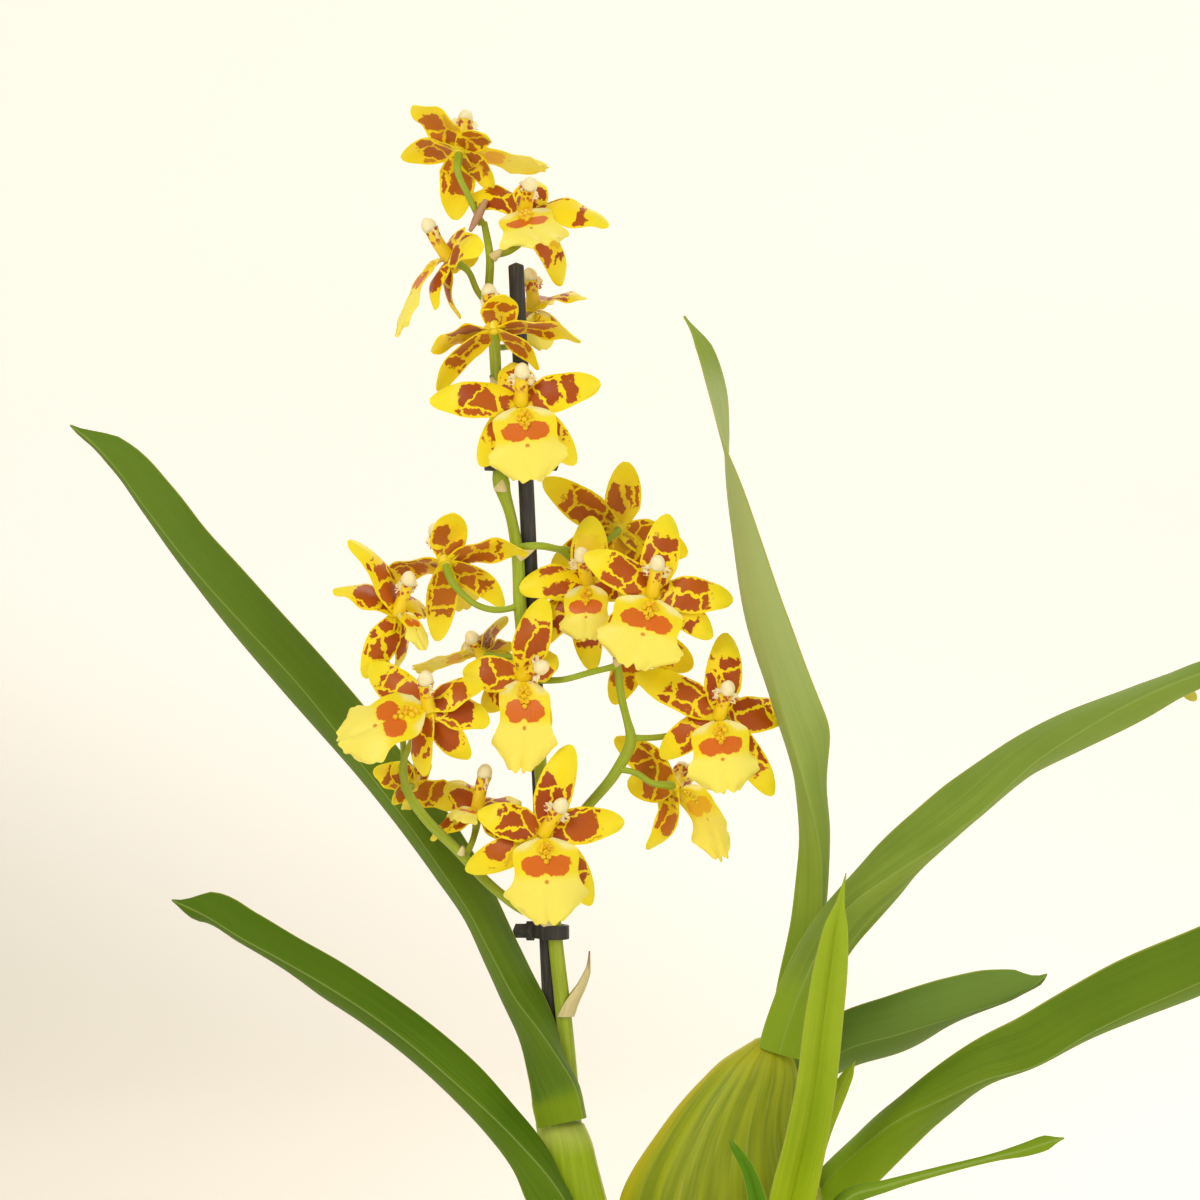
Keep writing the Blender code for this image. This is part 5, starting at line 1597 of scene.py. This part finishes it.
@dataclass
class Pot:
    """The nursery pot and its bark filling."""

    height: float = 110 * MM
    rim_radius: float = 66 * MM
    rim_band: float = 14 * MM
    top_radius: float = 63 * MM
    foot_radius: float = 48 * MM
    wall: float = 1.8 * MM
    floor: float = 3 * MM
    gap: float = 0.35 * MM
    drain_holes: int = 6
    drain_radius: float = 5 * MM
    drain_ring: float = 30 * MM
    chip_length: float = 13 * MM
    chip_density: float = 26000.0
    chip_bend: float = 6 * MM
    chip_sides: int = 48
    steps: int = 128

    def turned(self, shape: Shape, profile: Sequence[tuple[float, float]]) -> None:
        """Adds a profile turned about the pot's axis, from pole to pole.

        Args:
            shape: The shape to add to.
            profile: Its corners, each a radius and a height.
        """
        angles = np.linspace(0, math.tau, self.steps, endpoint=False)
        rings = [np.column_stack([r * np.cos(angles), r * np.sin(angles), np.full(self.steps, z)])
                 for r, z in profile[1:-1]]
        poles = np.array([[0, 0, profile[0][1]], [0, 0, profile[-1][1]]])
        points = np.vstack([*rings, poles])
        faces = ring_faces(len(rings), self.steps)
        first, last = len(rings) * self.steps, (len(rings) - 1) * self.steps
        for j in range(self.steps):
            k = (j + 1) % self.steps
            faces.append((k, j, first))
            faces.append((last + j, last + k, first + 1))
        blank = np.zeros_like(points)
        shape.add(points, blank, blank, faces, 0)

    def build(self, finish: bpy.types.Material) -> None:
        """Builds the pot with its rounded rim and drainage holes.

        Args:
            finish: Its material.
        """
        step = self.height - self.rim_band
        slope = (self.top_radius - self.foot_radius) / self.height
        band = self.foot_radius + slope * step
        lip = 0.8 * MM
        profile = [
            (0, 0), (self.foot_radius - 2 * MM, 0), (self.foot_radius - 0.6 * MM, 0.3 * MM),
            (self.foot_radius, 1.6 * MM), (band, step - self.wall),
            (self.rim_radius - 0.4 * MM, step - 0.3 * MM), (self.rim_radius, step + 0.5 * MM),
            (self.rim_radius, self.height - lip), (self.rim_radius - 0.3 * MM, self.height - 0.2 * MM),
            (self.rim_radius - 0.9 * MM, self.height),
            (self.rim_radius - self.wall + 0.2 * MM, self.height - 0.2 * MM),
            (self.rim_radius - self.wall, self.height - lip), (self.rim_radius - self.wall, step + self.wall),
            (band - self.wall, step), (self.foot_radius - self.wall, self.floor), (0, self.floor),
        ]
        shape = Shape()
        self.turned(shape, profile)
        work = linked("pot_work", shape.mesh("pot_body"))
        cutters = []
        for index in range(self.drain_holes):
            angle = math.tau * index / self.drain_holes
            centre = np.array([math.cos(angle), math.sin(angle), 0]) * self.drain_ring
            tool = Shape()
            ends = centre + np.outer((-1, 0.5, 2), (0, 0, self.floor))
            tool.tube(ends, np.full(3, self.drain_radius), 40)
            cutter = linked("drain", tool.mesh("drain"))
            cutters.append(cutter)
            cut = work.modifiers.new("drain", "BOOLEAN")
            cut.object = cutter
        mesh = worked(work)
        for spare in (work, *cutters):
            bpy.data.objects.remove(spare, do_unlink=True)
        mesh.materials.clear()
        mesh.materials.append(finish)
        mesh.shade_smooth()
        mesh.set_sharp_from_angle(angle=math.radians(35))
        mount("pot_shell", mesh, ["pot"])

    def build_filling(self, finish: bpy.types.Material) -> None:
        """Builds the body of the filling, which rises a little towards its middle.

        Args:
            finish: Its material.
        """
        step = self.height - self.rim_band
        slope = (self.top_radius - self.foot_radius) / self.height
        clear = self.wall + 2 * self.gap
        rim = self.rim_radius - clear
        shape = Shape()
        profile = [
            (0, self.floor + self.gap), (self.foot_radius - clear, self.floor + self.gap),
            (self.foot_radius + slope * step - clear, step), (rim, step + clear), (rim, MEDIUM_TOP - 2 * MM),
            (rim * 0.97, MEDIUM_TOP - 0.8 * MM), (rim * 0.7, MEDIUM_TOP - 0.5 * MM),
            (rim * 0.35, MEDIUM_TOP - 0.3 * MM), (0, MEDIUM_TOP - 0.3 * MM),
        ]
        self.turned(shape, profile)
        shape.piece("bark_bed", [finish], "bark", ["potting_medium"])

    def chip_tree(self, finish: bpy.types.Material) -> bpy.types.NodeTree:
        """The node tree that strews bark chips over a surface.

        Args:
            finish: The chips' material.

        Returns:
            The tree, with inputs for density, chip length and seed.
        """
        tree = bpy.data.node_groups.new("strewn_chips", "GeometryNodeTree")
        for label, kind in (("Ground", "NodeSocketGeometry"), ("Density", "NodeSocketFloat"),
                            ("Chip Length", "NodeSocketFloat"), ("Seed", "NodeSocketInt")):
            tree.interface.new_socket(name=label, in_out="INPUT", socket_type=kind)
        tree.interface.new_socket(name="Chips", in_out="OUTPUT", socket_type="NodeSocketGeometry")
        graph = Graph(tree)
        taken = graph.node("NodeGroupInput").outputs
        points = graph.node("GeometryNodeDistributePointsOnFaces", {
            "Mesh": taken["Ground"], "Density": taken["Density"], "Seed": taken["Seed"]})
        cube = graph.node("GeometryNodeMeshCube", {
            "Size": (1.0, 0.55, 0.32), "Vertices X": 4, "Vertices Y": 3, "Vertices Z": 2})
        turn = graph.node("FunctionNodeRandomValue", {
            0: (-0.45, -0.45, 0.0), 1: (0.45, 0.45, 6.28), "Seed": taken["Seed"]}, data_type="FLOAT_VECTOR")
        size = graph.node("FunctionNodeRandomValue", {
            0: (0.5, 0.45, 0.5), 1: (1.0, 1.1, 1.1), "Seed": 5}, data_type="FLOAT_VECTOR")
        scale = graph.node("ShaderNodeVectorMath", {0: size.outputs[0], 3: taken["Chip Length"]},
                           operation="SCALE")
        strewn = graph.node("GeometryNodeInstanceOnPoints", {
            "Points": points.outputs["Points"], "Instance": cube.outputs["Mesh"], "Rotation": turn.outputs[0],
            "Scale": scale.outputs[0]})
        real = graph.node("GeometryNodeRealizeInstances", {0: strewn.outputs[0]})
        rough = graph.node("ShaderNodeTexNoise", {"Scale": 210.0, "Detail": 1.0})
        centred = graph.node("ShaderNodeVectorMath", {0: rough.outputs["Color"], 1: (0.5, 0.5, 0.5)},
                             operation="SUBTRACT")
        small = graph.node("ShaderNodeVectorMath", {0: centred.outputs[0], 3: self.chip_bend},
                           operation="SCALE")
        bent = graph.node("GeometryNodeSetPosition",
                          {"Geometry": real.outputs[0], "Offset": small.outputs[0]})
        dressed = graph.node("GeometryNodeSetMaterial", {"Geometry": bent.outputs[0], "Material": finish})
        graph.feed(graph.node("NodeGroupOutput").inputs[0], dressed.outputs[0])
        return tree

    def build_chips(self, finish: bpy.types.Material) -> None:
        """Builds the loose chips on top of the filling.

        Args:
            finish: Their material.
        """
        ground = bpy.data.meshes.new("chip_ground")
        angles = np.linspace(0, math.tau, self.chip_sides, endpoint=False)
        reach = self.rim_radius - self.wall - 8.5 * MM
        height = np.full(self.chip_sides, MEDIUM_TOP + 1.2 * MM)
        ring = np.column_stack([reach * np.cos(angles), reach * np.sin(angles), height])
        ground.from_pydata(ring.tolist(), [], [tuple(range(self.chip_sides))])
        strew = linked("chip_ground", ground)
        tree = self.chip_tree(finish)
        modifier = strew.modifiers.new("strewn_chips", "NODES")
        modifier.node_group = tree
        values = {"Density": self.chip_density, "Chip Length": self.chip_length, "Seed": 7}
        for item in tree.interface.items_tree:
            if item.in_out == "INPUT" and item.name in values:
                modifier[item.identifier] = values[item.name]
        mesh = worked(strew)
        bpy.data.objects.remove(strew, do_unlink=True)
        mount("bark_chips", mesh, [])


@dataclass(frozen=True)
class Studio:
    """The camera, soft lights, and a pale floor that runs up into the backdrop and glows with painted light.
    """

    paper: Colour = (0.95, 0.895, 0.77)
    glow: Colour = (1.0, 0.975, 1.0)
    glow_strength: float = 0.31
    sky: Colour = (1.0, 0.985, 0.95)
    sky_strength: float = 0.52
    sweep_back: float = 1.5
    sweep_radius: float = 0.7

    def camera(self) -> None:
        """Sets the level camera that took the picture."""
        data = bpy.data.cameras.new("picture_camera")
        data.sensor_width = 36
        data.lens = 36 * EYE_DISTANCE / (PICTURE_SIZE * PIXEL)
        camera = linked("picture_camera", data)
        camera.location = (EYE_X, -EYE_DISTANCE, PICTURE_CENTRE_HEIGHT)
        camera.rotation_euler = (math.pi / 2, 0, 0)
        bpy.context.scene.camera = camera

    def lamp(self, name: str, place: Sequence[float], size: float, power: float, tint: Colour) -> None:
        """Adds a soft square light aimed at the plant.

        Args:
            name: The light's name.
            place: Where it stands.
            size: Its side in metres.
            power: Its power in watts.
            tint: Its colour.
        """
        data = bpy.data.lights.new(name, "AREA")
        data.size, data.energy, data.color = size, power, tint
        lamp = linked(name, data)
        lamp.location = place
        aim = Vector((EYE_X, 0, PICTURE_CENTRE_HEIGHT)) - Vector(place)
        lamp.rotation_euler = aim.to_track_quat("-Z", "Y").to_euler()

    def build(self) -> None:
        """Builds the whole studio."""
        self.camera()
        bpy.context.scene.view_settings.view_transform = "Standard"
        angles = np.linspace(0, math.pi / 2, 24)
        bend = [(self.sweep_back + self.sweep_radius * math.sin(a), self.sweep_radius * (1 - math.cos(a)))
                for a in angles]
        profile = [(-6.0, 0.0), *bend, (self.sweep_back + self.sweep_radius, 5.0)]
        points = [(x, y, z) for y, z in profile for x in (-6.0, 6.0)]
        faces = [(2 * i, 2 * i + 1, 2 * i + 3, 2 * i + 2) for i in range(len(profile) - 1)]
        mesh = bpy.data.meshes.new("studio_sweep")
        mesh.from_pydata(points, [], faces)
        mesh.shade_smooth()
        material, graph, shader = begin_finish("studio_paper", 0.9)
        shader.inputs["Base Color"].default_value = (*self.paper, 1)
        shader.inputs["Emission Color"].default_value = (*self.glow, 1)
        # Painted light: the paper glows, with none on the left of the floor, rising towards its right and
        # full up the backdrop.
        side, _, height = graph.node("ShaderNodeSeparateXYZ", {0: graph.own()}).outputs
        rise = graph.add(height, graph.mul(side, 0.35))
        graph.feed(shader.inputs["Emission Strength"], graph.ease(rise, -0.2, 0.2, 0.0, self.glow_strength))
        mesh.materials.append(material)
        sweep = linked("studio_sweep", mesh)
        world = bpy.data.worlds.new("studio_sky")
        bpy.context.scene.world = world
        world.use_nodes = True
        glow = world.node_tree.nodes["Background"]
        glow.inputs["Color"].default_value = (*self.sky, 1)
        glow.inputs["Strength"].default_value = self.sky_strength
        self.lamp("key_light", (-0.9, -1.5, 1.5), 0.9, 17, (1.0, 0.98, 0.94))
        self.lamp("fill_light", (1.4, -1.2, 0.7), 1.2, 5, (1.0, 0.97, 0.92))
        self.lamp("rear_light", (0.3, 1.1, 1.5), 1.0, 6, (1.0, 0.98, 0.95))


SHEATH_GREEN = (0.27, 0.37, 0.003)
LEAF_LOOKS = {
    "leaf_left_tall": LeafFinish("leaf_tall", (0.078, 0.152, 0.006), (0.140, 0.228, 0.014), SHEATH_GREEN,
                                 (0.125, 0.215, 0.018), 0.05, 0.5),
    "leaf_left_low": LeafFinish("leaf_low", (0.058, 0.130, 0.002), (0.108, 0.198, 0.005), SHEATH_GREEN,
                                (0.082, 0.158, 0.004), 0.2, 0.4),
    "leaf_twisted": LeafFinish("leaf_turned", (0.205, 0.300, 0.022), (0.30, 0.40, 0.045), (0.17, 0.27, 0.01),
                               (0.43, 0.505, 0.19), 0.2, 0.6, (0.2, 0.68), 0.1),
    "leaf_arching": LeafFinish("leaf_arched", (0.155, 0.235, 0.020), (0.25, 0.345, 0.045),
                               (0.25, 0.37, 0.012), (0.22, 0.315, 0.045), 0.16, 0.8),
    "leaf_short": LeafFinish("leaf_bluish", (0.115, 0.205, 0.022), (0.18, 0.285, 0.040), (0.17, 0.26, 0.01),
                             (0.155, 0.25, 0.036), 0.28, 0.7),
    "leaf_long": LeafFinish("leaf_olive", (0.105, 0.180, 0.005), (0.165, 0.260, 0.012), (0.30, 0.46, 0.008),
                            (0.115, 0.200, 0.009), 0.42, 0.85),
    "leaf_thin": LeafFinish("leaf_slender", (0.15, 0.27, 0.008), (0.25, 0.39, 0.02), (0.24, 0.36, 0.006),
                            (0.21, 0.32, 0.012), 0.4),
    "leaf_young": LeafFinish("leaf_fresh", (0.22, 0.33, 0.004), (0.38, 0.48, 0.020), (0.38, 0.50, 0.004),
                             (0.32, 0.43, 0.02), 0.5),
    "leaf_small_light": LeafFinish("leaf_fresh_light", (0.22, 0.34, 0.003), (0.34, 0.45, 0.010),
                                   (0.36, 0.46, 0.004), (0.30, 0.40, 0.01), 0.5),
    "leaf_small_front": LeafFinish("leaf_fresh_green", (0.065, 0.19, 0.002), (0.12, 0.28, 0.008),
                                   (0.20, 0.34, 0.004), (0.09, 0.22, 0.004), 0.4),
}
YOUNG_NAMES = ("leaf_young", "leaf_small_light", "leaf_small_front")


def main() -> None:
    """Builds the plant, its pot and the studio."""
    logging.basicConfig(level=logging.INFO, format="%(name)s: %(message)s", stream=sys.stdout)
    Studio().build()
    stem = StemFinish().build()
    bud = StemFinish("bud_yellow", (0.46, 0.44, 0.03), (0.66, 0.60, 0.07), (0.26, 0.26, 0.04)).build()
    blush = StemFinish("bud_withered", (0.42, 0.20, 0.10), (0.60, 0.36, 0.20), (0.26, 0.10, 0.06)).build()
    paper = PaperFinish().build()
    spike = Spike()
    spike.build(stem, paper, blush)
    spike.build_bract(paper)
    spike.build_young(stem, bud)
    tissue = [TepalFinish().build(), ColumnFinish().build(), CreamFinish().build(), WartFinish().build()]
    lip_finish = LipFinish().build()
    for number, plan in enumerate(FLOWERS):
        Blossom(plan, number).build(tissue, lip_finish)
    for number, (name, rows) in enumerate(LEAVES.items()):
        slot = "young_leaf" if name in YOUNG_NAMES else "leaf"
        Blade(name, rows).build(LEAF_LOOKS[name].build(), slot, 7.0 * number)
    Bulb("pseudobulb_large", BULB_LARGE, 0, 7, 0.022).build(BulbFinish().build())
    sheath = BulbFinish("sheath_striped", (0.34, 0.47, 0.003), (0.28, 0.40, 0.002), (0.36, 0.48, 0.01),
                        (0.66, 0.66, 0.20), (0.26, 0.32, 0.01), (0.90, 1.0), 1.0)
    Bulb("pseudobulb_small", BULB_SMALL, BULB_SMALL_DEPTH, 5, 0.02).build(sheath.build())
    dark = PlasticFinish("plastic_black", (0.020, 0.017, 0.015), (0.075, 0.065, 0.055), 0.55, 900.0).build()
    support = Support()
    support.build_stake(dark)
    support.build_clip("clip_upper", 466, 3.2 * MM, 1, dark)
    support.build_clip("clip_lower", 932, 4.8 * MM, -1, dark)
    pot = Pot()
    terracotta = PlasticFinish("plastic_terracotta", (0.33, 0.115, 0.055), (0.42, 0.20, 0.12), 0.6, 60.0)
    pot.build(terracotta.build())
    bark = BarkFinish().build()
    pot.build_filling(bark)
    pot.build_chips(bark)


if __name__ == "__main__":
    main()
